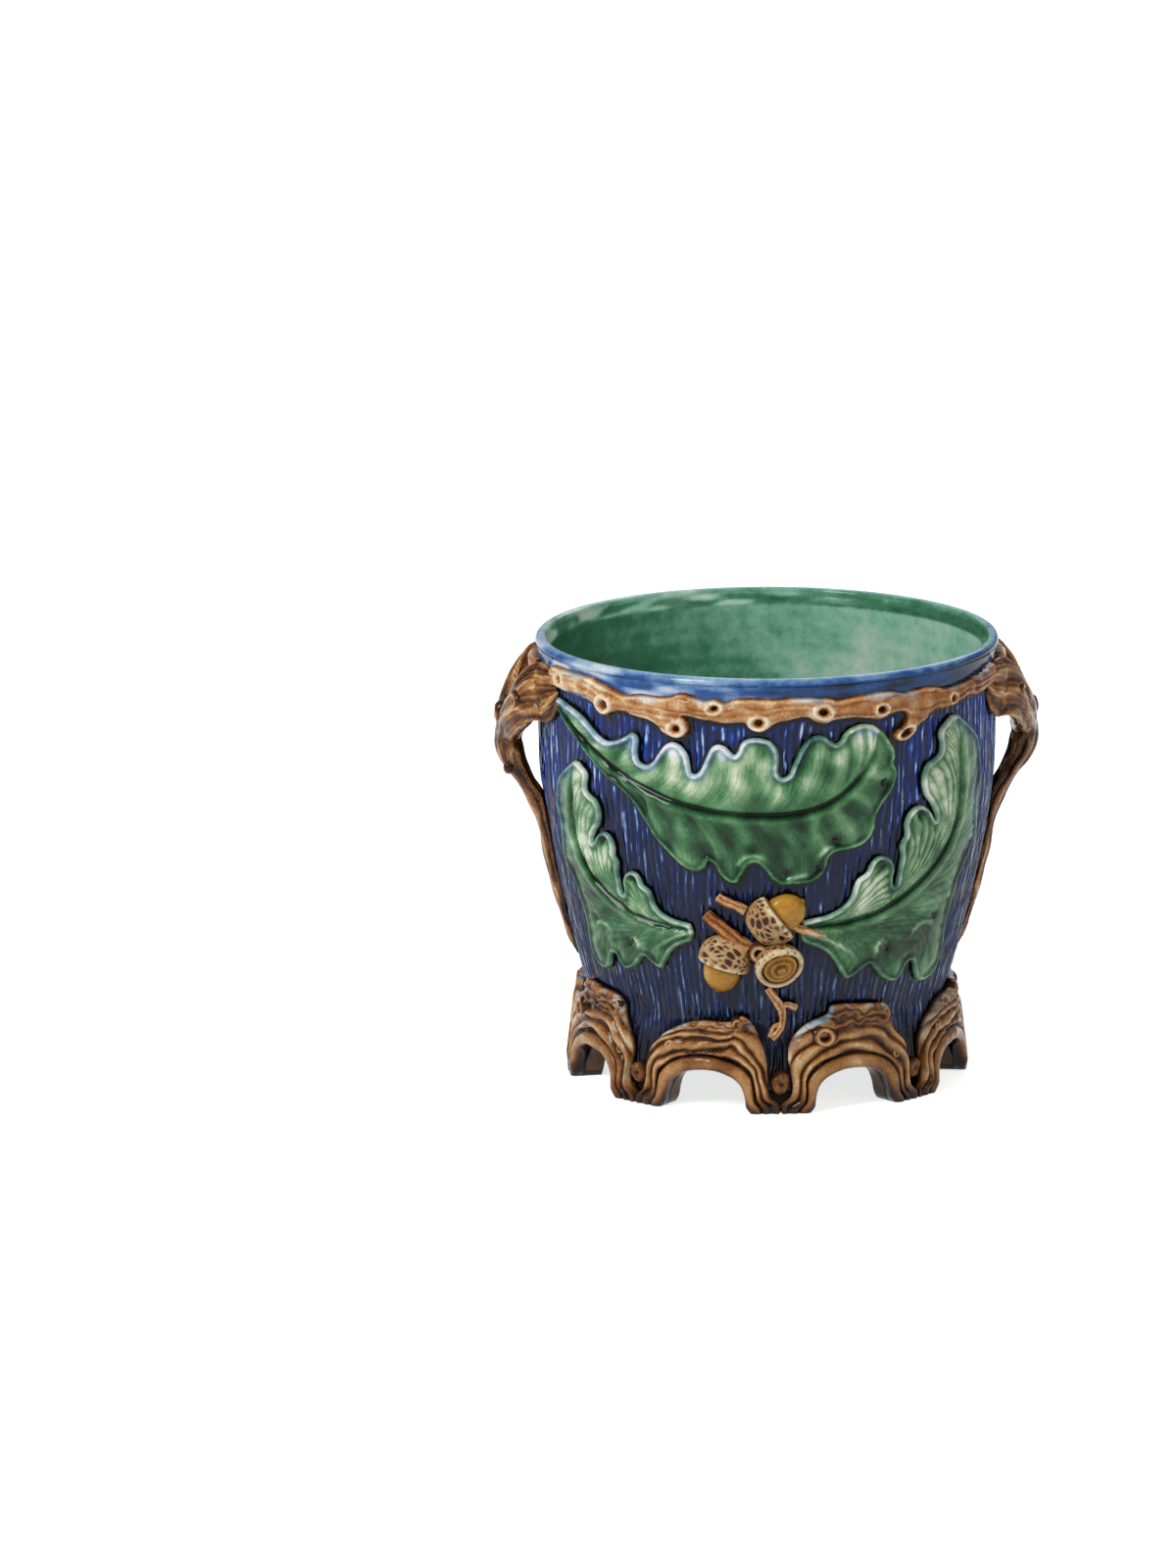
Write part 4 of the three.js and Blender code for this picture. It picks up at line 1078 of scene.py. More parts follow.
def foot_ring():
    arch = curve(ARCH, 72)
    flats = np.linspace(-HALF_PITCH, arch[0, 0], 10)[:-1]
    columns = np.vstack([
        np.column_stack([flats, 0 * flats]), arch, np.column_stack([-flats[:0:-1], 0 * flats[1:]])])
    rings, tones = [], []
    ledge = FLOOR_HEIGHT - SLIP
    for turn in ARCH_TURNS:
        for x, low in columns:
            angle = x / DRAWN_RADIUS + turn
            lifted = float(ramp(low, 0.5, 6))
            low_edge = low + LIP_OF_ARCH * lifted
            height = np.linspace(low_edge, FOOT_TOP - 0.05, 14)
            outer = np.column_stack([wall_radius(height) - 1.0 - 1.4 * ramp(height, 10, 16), height])
            top = np.array([(SPIGOT + SLIP, FOOT_TOP - 0.05), (SPIGOT + SLIP, ledge), (SPIGOT - 7, ledge)])
            down = np.linspace(ledge - 8, low_edge, 8)
            share = np.clip(down / (ledge - 8), 0, 1)
            inner = np.column_stack([FOOT_INNER + (SPIGOT - 6 - FOOT_INNER) * share, down])
            across = np.linspace(0, 1, 9)[1:-1]
            under = inner[-1] + (outer[0] - inner[-1]) * across[:, None]
            under[:, 1] -= LIP_OF_ARCH * lifted * np.sqrt(np.clip(1 - (2 * across - 1) ** 4, 0, 1))
            section = np.vstack([outer, top, inner, under])
            rings.append(np.column_stack([
                section[:, 0] * math.sin(angle), -section[:, 0] * math.cos(angle), section[:, 1]]) * MM)
            shade = np.full(len(section), 0.42)
            shade[: len(outer)] = 0.06
            shade[-9:] = 0.66 if lifted > 0.5 else 0.3
            tones.append(shade)
    return tube(np.array(rings), np.array(tones), closed=True)


lay("foot_ring_glazed", foot_ring(), CLAY_FOOT, "foot_glaze", "foot_ring")

# %% [markdown]
# ## Acorns
#
# Two acorns lie on the wall, flattened towards it, and a third looks straight out. Each cup wears a
# raised net of crawling ridges: cells round scattered points, as in a dried mud bed, give it. Each point
# of the cup looks for its nearest and second nearest seed; where the two are equally far, it stands on a
# ridge.

# %% Outlines from the axis, in millimetres
CUP_OUTLINE = [
    (0.4, -3), (7, -1.8), (12, 2.4), (14.2, 8), (14.4, 13), (13.2, 15.6), (11.6, 15.9), (10.6, 13.6),
    (0.4, 13.2),
]
NUT_OUTLINE = [
    (0.4, 12), (10, 13), (11, 16.5), (10.7, 21), (9, 26), (5.4, 29.6), (2.2, 31), (1.1, 31.9),
    (0.2, 32.2),
]
OPEN_CUP = [
    (0.4, -0.8), (8.5, -0.6), (12.2, 3), (12.9, 7.4), (12.2, 9.8), (10.9, 10.2), (10.1, 8.6), (9.9, 6.4),
    (0.4, 6.2),
]
SCAR = [
    (0.3, 5.8), (9.3, 6.0), (9.6, 8.2), (8.6, 9.9), (7.4, 9.2), (6.5, 8.9), (5.4, 10.5), (4.2, 10.0),
    (3.2, 9.7), (2.2, 11.2), (0.3, 11.7),
]
ACORN_DEPTH = 0.7
ACORN_LIFT = 2.6
END_ON = (-3.5, 95.7, 30, -60)  # the third cup: x, y, its tilt and the way it leans, in degrees
print("a cup is", 2 * max(r for r, _ in CUP_OUTLINE), "mm across before it is laid")


# %% Turned shapes, lying and facing
def net_of_ridges(points, seed, count, sharp):
    """1 on the ridges between cells round scattered seeds, 0 inside the cells."""
    rng = np.random.default_rng(seed)
    centres = points[rng.choice(len(points), count, replace=False)]
    gaps = np.sort(np.linalg.norm(points[:, None] - centres[None], axis=2), axis=1)
    return 1 - ramp(gaps[:, 1] - gaps[:, 0], 0.35 * sharp, sharp)


def turned_shape(outline, rows, around, tone_at, netted=0.0, seed=1):
    """A body of revolution: (side, side, axis) points as clay, with an optional net on its outside."""
    line = curve(outline, rows)
    angle = np.arange(around) / around * 2 * math.pi
    radius, height = line[:, :1], line[:, 1:]
    rings = np.stack([radius * np.cos(angle), radius * np.sin(angle), height * np.ones(around)], -1)
    ridges = np.zeros((rows, around))
    if netted:
        outside = (np.arange(rows) < rows * 0.62)[:, None] * np.ones(around)
        ridges = net_of_ridges(rings.reshape(-1, 3), seed, 300, 1.8).reshape(rows, around) * outside
        growth = 1 + netted * (ridges - 0.4) / np.maximum(radius, 4) * outside
        rings[..., :2] *= growth[..., None]
    return tube(rings, np.clip(tone_at(radius, height, ridges) * np.ones((rows, around)), 0, 1))


def lying(clay, x, y, aim, size=1.06):
    """Lays a turned shape down, its cup's mouth at (x, y), pointing `aim` degrees from the right."""
    side, out, axis = (clay.points * size).T
    ahead, beside = swung(axis - 16 * size, side, aim)
    off = np.maximum(ACORN_LIFT + out * ACORN_DEPTH, -1.6)
    return clay.shaped(np.stack([x + ahead, y + beside, off], 1)).outward()


def facing(clay, x, y, tilt, towards, size=1.12, longer=1.25):
    """Stands a turned shape on the wall at (x, y), its mouth tilted towards a direction."""
    side, up, axis = (clay.points * (size, size, longer)).T
    ahead, beside = swung(side, up, -towards)
    axis, leaning = swung(axis, ahead, tilt)
    ahead, beside = swung(leaning, beside, towards)
    off = np.maximum(axis - 1.5, -1.4)
    return clay.shaped(np.stack([x + ahead, y + beside, off], 1)).outward()


def cup_tone(radius, height, ridges):
    lip = bell(height - 14.8, 2.0) * (radius > 11)
    return 0.2 + 0.54 * ridges + 0.4 * lip


def nut_tone(radius, height, ridges):
    return 0.6 - 0.5 * bell(height - 14.6, 2.0) - 0.1 * ramp(height, 26, 34)


def open_cup_tone(radius, height, ridges):
    return 0.2 + 0.46 * ridges + 0.6 * bell(radius - 11.4, 1.6) * (height > 7)


def scar_tone(radius, height, ridges):
    rings = bell(radius - 8.4, 1.2) + bell(radius - 5.0, 1.1) + bell(radius - 1.2, 1.2)
    return 0.26 + 0.44 * rings


cup = turned_shape(CUP_OUTLINE, 84, 110, cup_tone, netted=1.5, seed=41)
nut = turned_shape(NUT_OUTLINE, 54, 64, nut_tone)
open_cup = facing(turned_shape(OPEN_CUP, 70, 100, open_cup_tone, netted=1.2, seed=43), *END_ON)
scar = facing(turned_shape(SCAR, 60, 64, scar_tone), *END_ON)
for face, turn in FACES:
    for mark, *place in (("a", -1.1, 124, 35), ("b", -37, 90, -107)):
        end = f"{mark}_{face}"
        laid_cup, laid_nut = lying(cup, *place), lying(nut, *place)
        lay_relief(f"acorn_cup_netted_{end}", laid_cup, turn, CUP, "acorn_cup", f"acorn_cup_{end}")
        lay_relief(f"acorn_nut_ripe_{end}", laid_nut, turn, ACORN, "acorn_nut", f"acorn_nut_{end}")
    lay_relief(f"acorn_cup_open_{face}", open_cup, turn, CUP, "acorn_cup", f"acorn_cup_c_{face}")
    lay_relief(f"acorn_scar_{face}", scar, turn, ACORN, "acorn_nut", f"acorn_nut_c_{face}")

# %% [markdown]
# ## Twigs
#
# Two cut twigs come in from the left to the cups, and a forked one hangs below them. They are thin
# branches of the same bark, with cut ends. A leaf's stalk runs out thin beside the upper acorn.

# %% Cut and hanging twigs
CUT_TWIGS = {
    "a": [(-21.5, 127.2, 3.6, 3, 2.8), (-28, 131, 3.6, 2.7, 2.6), (-32, 132, 3.2, 3, 2.6),
          (-36.4, 134.5, 2.4, 2.6, 2.4)],
    "b": [(-20.5, 102.5, 4, 4.6, 3.6), (-32, 112, 3.8, 4.4, 3.4), (-44, 122.5, 2.4, 3.6, 3)],
}
CUT_TWIG_TONES = {"a": 0.6, "b": 0.38}
LEAF_STALK = [
    (3, 118.5, 3.4, 2.4, 1.8), (12, 115.2, 5, 2.4, 1.8), (20, 112.6, 5.4, 1.7, 1.3),
    (27, 110.4, 4.8, 0.7, 0.7),
]
HANGING_TWIG = [
    (-8.5, 77, 2.6, 2.3, 2), (-4, 71, 3.2, 2.6, 2.2), (-0.1, 65, 3.4, 2.8, 2.4),
    (1.6, 58.5, 3.2, 2.4, 2.2), (0.6, 51.5, 2.8, 2.1, 2), (-4.5, 45.6, 2.4, 2.1, 1.8),
]
HANGING_FORKS = [
    [(-0.1, 65, 3.2, 2, 2), (5, 65.8, 3, 1.9, 1.9), (9.8, 64.2, 2.6, 2.1, 1.8)],
    [(0.9, 53, 2.8, 1.6, 1.5), (-4, 52, 2.7, 1.4, 1.3), (-6.8, 46.6, 2.4, 1.4, 1.3)],
]
cut_twigs = {
    mark: branch(path, 44, 26, 51, strands=5, rough=0.34, tone=CUT_TWIG_TONES[mark])
    for mark, path in CUT_TWIGS.items()}
stalk = branch(LEAF_STALK, 30, 18, 56, strands=3, rough=0.05, ends=ROUND_END, tone=0.62)
hanging = joined(
    branch(HANGING_TWIG, 60, 22, 53, strands=4, rough=0.3, tone=0.6),
    *(branch(path, 26, 20, 54 + k, strands=4, rough=0.3, tone=0.6) for k, path in enumerate(HANGING_FORKS)))
for face, turn in FACES:
    for mark, twig in cut_twigs.items():
        lay_relief(f"twig_cut_bark_{mark}_{face}", twig, turn, HONEY, "twig", f"twig_cut_{mark}_{face}")
    lay(f"leaf_stalk_{face}", stalk.bent(turn), HONEY, "twig")
    lay_relief(f"twig_hanging_bark_{face}", hanging, turn, HONEY, "twig", f"twig_hanging_{face}")

# %% [markdown]
# ## The two branch handles
#
# Each handle is two thick arms that spring from the band, meet in a knuckle and run down the wall as a
# tail. Pushing three tubes through each other would leave hard seams where a potter's thumb left none. So
# the tubes are melted into one skin with a voxel Remesh, and the bark comes after it: each point of the
# skin asks where it lies along and around each tube, and takes the strands of the tube it is nearest to,
# or a mix at the knuckle.

# %% Handle lines: round the wall, up, share of the reach, half width, half depth
HANDLE_REACH = 20.3
ARM = [
    (47, 247.5, -0.14, 8, 4.5), (41.5, 245.5, 0.0, 14, 6.2), (34, 242.5, 0.16, 18, 6.6),
    (29, 240, 0.4, 17, 6.5), (22, 234, 0.62, 14.5, 7), (11, 223, 0.82, 12, 7.8), (0, 212, 0.9, 10.5, 8.2),
]
TAIL = [
    (0, 217, 0.88, 9, 8), (0, 204, 0.91, 9.4, 8.2), (0, 193, 0.78, 8.6, 7), (0, 183, 0.52, 8.6, 6),
    (0, 172, 0.27, 9, 5.6), (1, 155, 0.12, 9, 4.8), (1, 130, 0.1, 8, 4.2), (-1, 105, 0.08, 6, 3.6),
    (0, 84, 0.05, 3.4, 2.6), (0, 72, 0, 1.8, 1),
]
HANDLE_VOXEL = 0.95


def reached(rows, side=1):
    return [(x * side, y, off * HANDLE_REACH, width, depth) for x, y, off, width, depth in rows]


PATHS = [(reached(ARM), 7), (reached(ARM, -1), 7), (reached(TAIL), 6)]  # each with its number of strands
print("a handle stands", round(max(row[2] + row[4] for row in reached(ARM)), 1), "mm off the wall")


# %% Handles
def melted(clay, voxel):
    """One smooth skin round clay whose tubes run into each other: points, faces and normals."""
    raw = make_object("melting", Clay(clay.points * MM, clay.faces, 0), BARK)
    remesh = raw.modifiers.new("skin", "REMESH")
    remesh.mode = "VOXEL"
    remesh.voxel_size = voxel * MM
    soften = raw.modifiers.new("soften", "SMOOTH")
    soften.factor = 0.6
    soften.iterations = 5
    whole = bpy.data.meshes.new_from_object(raw.evaluated_get(bpy.context.evaluated_depsgraph_get()))
    count = len(whole.vertices)
    points, normals = np.empty(count * 3), np.empty(count * 3)
    whole.vertices.foreach_get("co", points)
    whole.vertices.foreach_get("normal", normals)
    faces = [tuple(face.vertices) for face in whole.polygons]
    bpy.data.objects.remove(raw)
    return points.reshape(-1, 3) / MM, faces, normals.reshape(-1, 3)


def round_path(path, points):
    """Place along a branch in mm, the angle round it, and how far out from its axis (1 on its surface)."""
    line = curve(path, 120)
    middle = line[:, :3]
    run, side, up, step = axes_along(middle)
    k = ((points[:, None] - middle[None]) ** 2).sum(-1).argmin(1)
    gap = points - middle[k]
    across = (gap * side[k]).sum(1) / line[k, 3]
    above = (gap * up[k]).sum(1) / line[k, 4]
    ahead = (gap * run[k]).sum(1)
    out = np.sqrt(across**2 + above**2 + (ahead / 9) ** 2)
    return np.cumsum(step)[k] + ahead, np.arctan2(above, across), out


def make_handle(seed):
    tubes = [branch(path, rows, around, seed, rough=0, ends=ROUND_END)
             for (path, _), (rows, around) in zip(PATHS, ((40, 30), (40, 30), (70, 28)))]
    points, faces, normals = melted(joined(*tubes), HANDLE_VOXEL)
    barks, fines, weights = [], [], []
    for n, (path, count) in enumerate(PATHS):
        along, angle, out = round_path(path, points)
        barks.append(strand(count * angle / (2 * math.pi) + 0.2, along / 26, seed + n, wander=0.3))
        fines.append(strand(4 * count * angle / (2 * math.pi), along / 15, seed + 5 + n))
        weights.append(1 / np.maximum(out, 0.3) ** 10)
    weights = np.array(weights) / sum(weights)
    bark, fine = (weights * np.array(barks)).sum(0), (weights * np.array(fines)).sum(0)
    lumps = ripple(points[:, 0] / 13, points[:, 1] / 17, seed + 9)
    points = points + normals * (1.7 * (bark - 0.7) + 0.35 * (fine - 0.6) + 0.6 * lumps)[:, None]
    points[:, 2] = np.maximum(points[:, 2], DEEPEST - 0.2)
    tone = 0.06 + 0.36 * bark + 0.12 * fine + 0.12 * lumps
    tone += 0.2 * ramp(bark, 0.92, 1) + 0.16 * ramp(fine, 0.9, 1)
    return Clay(points, faces, np.clip(tone * ramp(points[:, 2], -0.6, 2.6), 0, 1))


handle = make_handle(61)
for side, turn in SIDES:
    lay_relief(f"branch_handle_{side}", handle, turn, BARK, "handle_bark", f"handle_{side}")

# %% [markdown]
# ## Ringed knots, set by Geometry Nodes
#
# Where a side twig was cut away, the bark healed into a ring round a dark hole. There are dozens of these
# on the roots, the feet and the handles, all alike but for size and turn, so one knot is made and a small
# node tree sets a copy on each listed place. The tree's named inputs are the knot, its seed and its
# glaze. It ends by making the copies real and giving them their glaze, and the result is turned into a
# plain mesh.


# %% Trees, and running one
def node_tree(name, inputs):
    """An empty tree: its geometry input, then (name, kind, value) for each further one."""
    tree = bpy.data.node_groups.new(name, "GeometryNodeTree")
    for label, kind, value in [("Geometry", "Geometry", None), *inputs]:
        socket = tree.interface.new_socket(label, in_out="INPUT", socket_type=f"NodeSocket{kind}")
        if value is not None:
            socket.default_value = value
    tree.interface.new_socket("Geometry", in_out="OUTPUT", socket_type="NodeSocketGeometry")
    return tree, tree.nodes.new("NodeGroupInput").outputs, tree.nodes.new("NodeGroupOutput").inputs


def end_tree(tree, shape, glaze_input, result):
    """Every tree ends alike: its copies are made real and take their glaze."""
    real = node(tree, "GeometryNodeRealizeInstances", {"Geometry": shape}).outputs["Geometry"]
    coat = node(tree, "GeometryNodeSetMaterial", {"Geometry": real, "Material": glaze_input})
    tree.links.new(coat.outputs["Geometry"], result["Geometry"])
    return tree


def field(tree, name, kind="FLOAT"):
    """An attribute of the points, read back."""
    made = node(tree, "GeometryNodeInputNamedAttribute", {"Name": name}, data_type=kind)
    return made.outputs["Attribute"]


def grown(name, tree, points, values, **attributes):
    """Runs a tree on a mesh of bare points and returns the result as a plain object."""
    mesh = bpy.data.meshes.new(name)
    mesh.from_pydata([tuple(p) for p in points], [], [])
    start = bpy.data.objects.new(name, mesh)
    bpy.context.scene.collection.objects.link(start)
    for key, rows in attributes.items():
        kind, part = ("FLOAT_VECTOR", "vector") if np.ndim(rows) == 2 else ("FLOAT", "value")
        mesh.attributes.new(key, kind, "POINT").data.foreach_set(part, np.ravel(rows).astype(np.float32))
    modifier = start.modifiers.new("grow", "NODES")
    modifier.node_group = tree
    for item in tree.interface.items_tree:
        if item.in_out == "INPUT" and item.name in values:
            modifier[item.identifier] = values[item.name]
    bpy.context.view_layer.update()
    plain = bpy.data.meshes.new_from_object(start.evaluated_get(bpy.context.evaluated_depsgraph_get()))
    start.modifiers.remove(modifier)
    start.data = plain
    plain.polygons.foreach_set("use_smooth", np.ones(len(plain.polygons), bool))
    return start


# %% One knot and one nub
KNOT_OUTLINE = [
    (1.7, -0.9), (1.5, 0.0), (1.2, 0.42), (0.9, 0.55), (0.66, 0.36), (0.5, -0.05), (0.3, -0.3),
    (0.08, -0.35),
]
NUB_OUTLINE = [
    (1.04, -0.6), (1.06, 0.1), (0.98, 0.5), (0.78, 0.86), (0.45, 1.0), (0.08, 1.02),
]


def one_knot(name, outline, tone_at, lumps):
    """A small turned shape of radius 1, a little out of round, that the tree copies."""
    line = curve(outline, 16)
    angle = np.arange(26) / 26 * 2 * math.pi
    lobes = 1 + 0.07 * np.sin(2 * angle + 0.6) + 0.05 * np.sin(3 * angle + 2)
    radius, height = line[:, :1] * lobes, line[:, 1:] * (1 + 0.16 * np.sin(2 * angle + 1))
    across, up = radius * np.cos(angle), radius * np.sin(angle)
    height = height - lumps * np.clip(ripple(across * 2, up * 2, 77), 0, 1)
    rings = np.stack([across, up, height], -1)
    made = make_object(name, tube(rings, np.clip(tone_at(radius, height), 0, 1)), BARK)
    made.hide_render = True
    return made


def ring_tone(radius, height):
    return 0.22 + 0.66 * bell(radius - 0.92, 0.3) - 0.25 * bell(radius, 0.45)


def nub_tone(radius, height):
    return 0.22 + 0.28 * ramp(height, 0.2, 0.95) - 0.2 * bell(radius, 0.3)


KNOT = one_knot("knot_pattern", KNOT_OUTLINE, ring_tone, 0.0)
NUB = one_knot("nub_pattern", NUB_OUTLINE, nub_tone, 0.22)
print("faces of a knot and of a nub:", len(KNOT.data.polygons), len(NUB.data.polygons))


# %% The tree that sets them
SIZE_WANDER = 0.14


def setting_tree():
    tree, given, result = node_tree("set_knots", [
        ("Knot", "Object", None), ("Seed", "Int", 5), ("Size wander", "Float", SIZE_WANDER),
        ("Glaze", "Material", None)])
    outwards = {"Vector": field(tree, "facing", "FLOAT_VECTOR")}
    align = node(tree, "FunctionNodeAlignRotationToVector", outwards, axis="Z")
    spin = node(tree, "FunctionNodeRandomValue", {"Max": 2 * math.pi, "Seed": given["Seed"]})
    turn = node(tree, "ShaderNodeCombineXYZ", {"Z": spin.outputs["Value"]})
    turns = {"Rotation": align.outputs["Rotation"], "Rotate By": turn.outputs["Vector"]}
    rotate = node(tree, "FunctionNodeRotateRotation", turns, rotation_space="LOCAL")
    low, high = (calc(tree, kind, 1, given["Size wander"]) for kind in ("SUBTRACT", "ADD"))
    limits = {"Min": low, "Max": high, "Seed": given["Seed"]}
    wander = node(tree, "FunctionNodeRandomValue", limits, data_type="FLOAT_VECTOR").outputs["Value"]
    sized = {0: wander, "Scale": field(tree, "radius")}
    scale = node(tree, "ShaderNodeVectorMath", sized, operation="SCALE")
    knot = node(tree, "GeometryNodeObjectInfo", {"Object": given["Knot"]})
    placed = node(tree, "GeometryNodeInstanceOnPoints", {
        "Points": given["Geometry"], "Instance": knot.outputs["Geometry"],
        "Rotation": rotate.outputs["Rotation"], "Scale": scale.outputs["Vector"]})
    return end_tree(tree, placed.outputs["Instances"], given["Glaze"], result)


SETTING = setting_tree()


def set_knots(name, places, turns, material, slot, seed, *stands_for, pattern=KNOT):
    """Knots at (x, y, off the wall, radius) on the drawing, once for each turn of the drawing."""
    rows = np.array(places, float)
    spots = np.vstack([on_wall(rows[:, :3], turn) for turn in turns])
    ahead = np.vstack([on_wall(rows[:, :3] + (0, 0, 5), turn) for turn in turns])
    values = {"Knot": pattern, "Seed": seed, "Size wander": SIZE_WANDER, "Glaze": material}
    radius = np.tile(rows[:, 3], len(turns)) * MM
    made = grown(name, SETTING, spots, values, radius=radius, facing=(ahead - spots) / 0.005)
    settle(made, slot, *stands_for)


print("nodes of the tree:", len(SETTING.nodes))

# %% [markdown]
# ## Where the knots sit
#
# One joins the acorns, a few sit on each root, a nub fills the hollow over each foot, and four stand on
# each handle. A place is written once and set again for every turn of the drawing that has it.

# %% Knots on acorns, roots, feet and handles
ACORN_KNOT = [(-13.6, 100.6, 7.4, 4.2)]
for face, turn in FACES:
    set_knots(f"acorn_knot_ringed_{face}", ACORN_KNOT, [turn], CUP, "acorn_cup", 72, f"acorn_knot_{face}")
TALL_KNOTS = [(-20.8, 45.4, 6.4, 5.0), (27, 56, 5.4, 2.0), (33, 30, 5.0, 2.2)]
LOW_KNOTS = [(-25, 38, 5.8, 2.6), (22, 53, 5.4, 2.8)]
set_knots("root_knots_tall", TALL_KNOTS, ARCH_TURNS[::2], BARK, "root_bark", 73)
set_knots("root_knots_low", LOW_KNOTS, ARCH_TURNS[1::2], BARK, "root_bark", 74)
FOOT_TURNS = [k * 2 * math.pi / ARCH_COUNT for k in range(ARCH_COUNT)]
set_knots("foot_nubs", [(0, 18, 0.6, 5.9)], FOOT_TURNS, BARK, "foot_glaze", 75,
          *(f"foot_knot_{k + 1}" for k in range(ARCH_COUNT)), pattern=NUB)
HANDLE_KNOTS = [(0, 223, 24.2, 4.4), (24, 236, 18.2, 3.8), (-25, 238, 16.8, 3.2), (4, 190, 21.0, 2.6)]
set_knots("handle_knots", HANDLE_KNOTS, [RIGHT, LEFT], BARK, "handle_bark", 76)

# %% [markdown]
# ## The bark ground of the wall, grown by Geometry Nodes
#
# Between the reliefs the wall is combed into upright ridges that waver and break. It follows a rule, so
# it is a node tree: a flat grid whose x is an angle and whose y is a height is bent to the wall's radius,
# and a sine wave along x, pushed about by stretched noise, lifts the ridges. The tree also measures how
# far each point is from the nearest relief. Close to one, the grooves fill and the colour is darkened
# nearly to black: partly the glaze pooling there, partly painted shade. Short pale dashes on the crests
# high on the wall are painted highlights, for glints of the lamp. Between the roots the sheet runs down to
# the feet, and over each arch it starts higher, hidden by the root.

# %% Ground tree
GROUND_TOP = 250
GROUND_LOW = 11
GROUND_RISE = 30  # how much higher the sheet starts over an arch
GROUND_THICKNESS = 2.0
RIDGES = 180.0  # waves of the comb round the whole wall


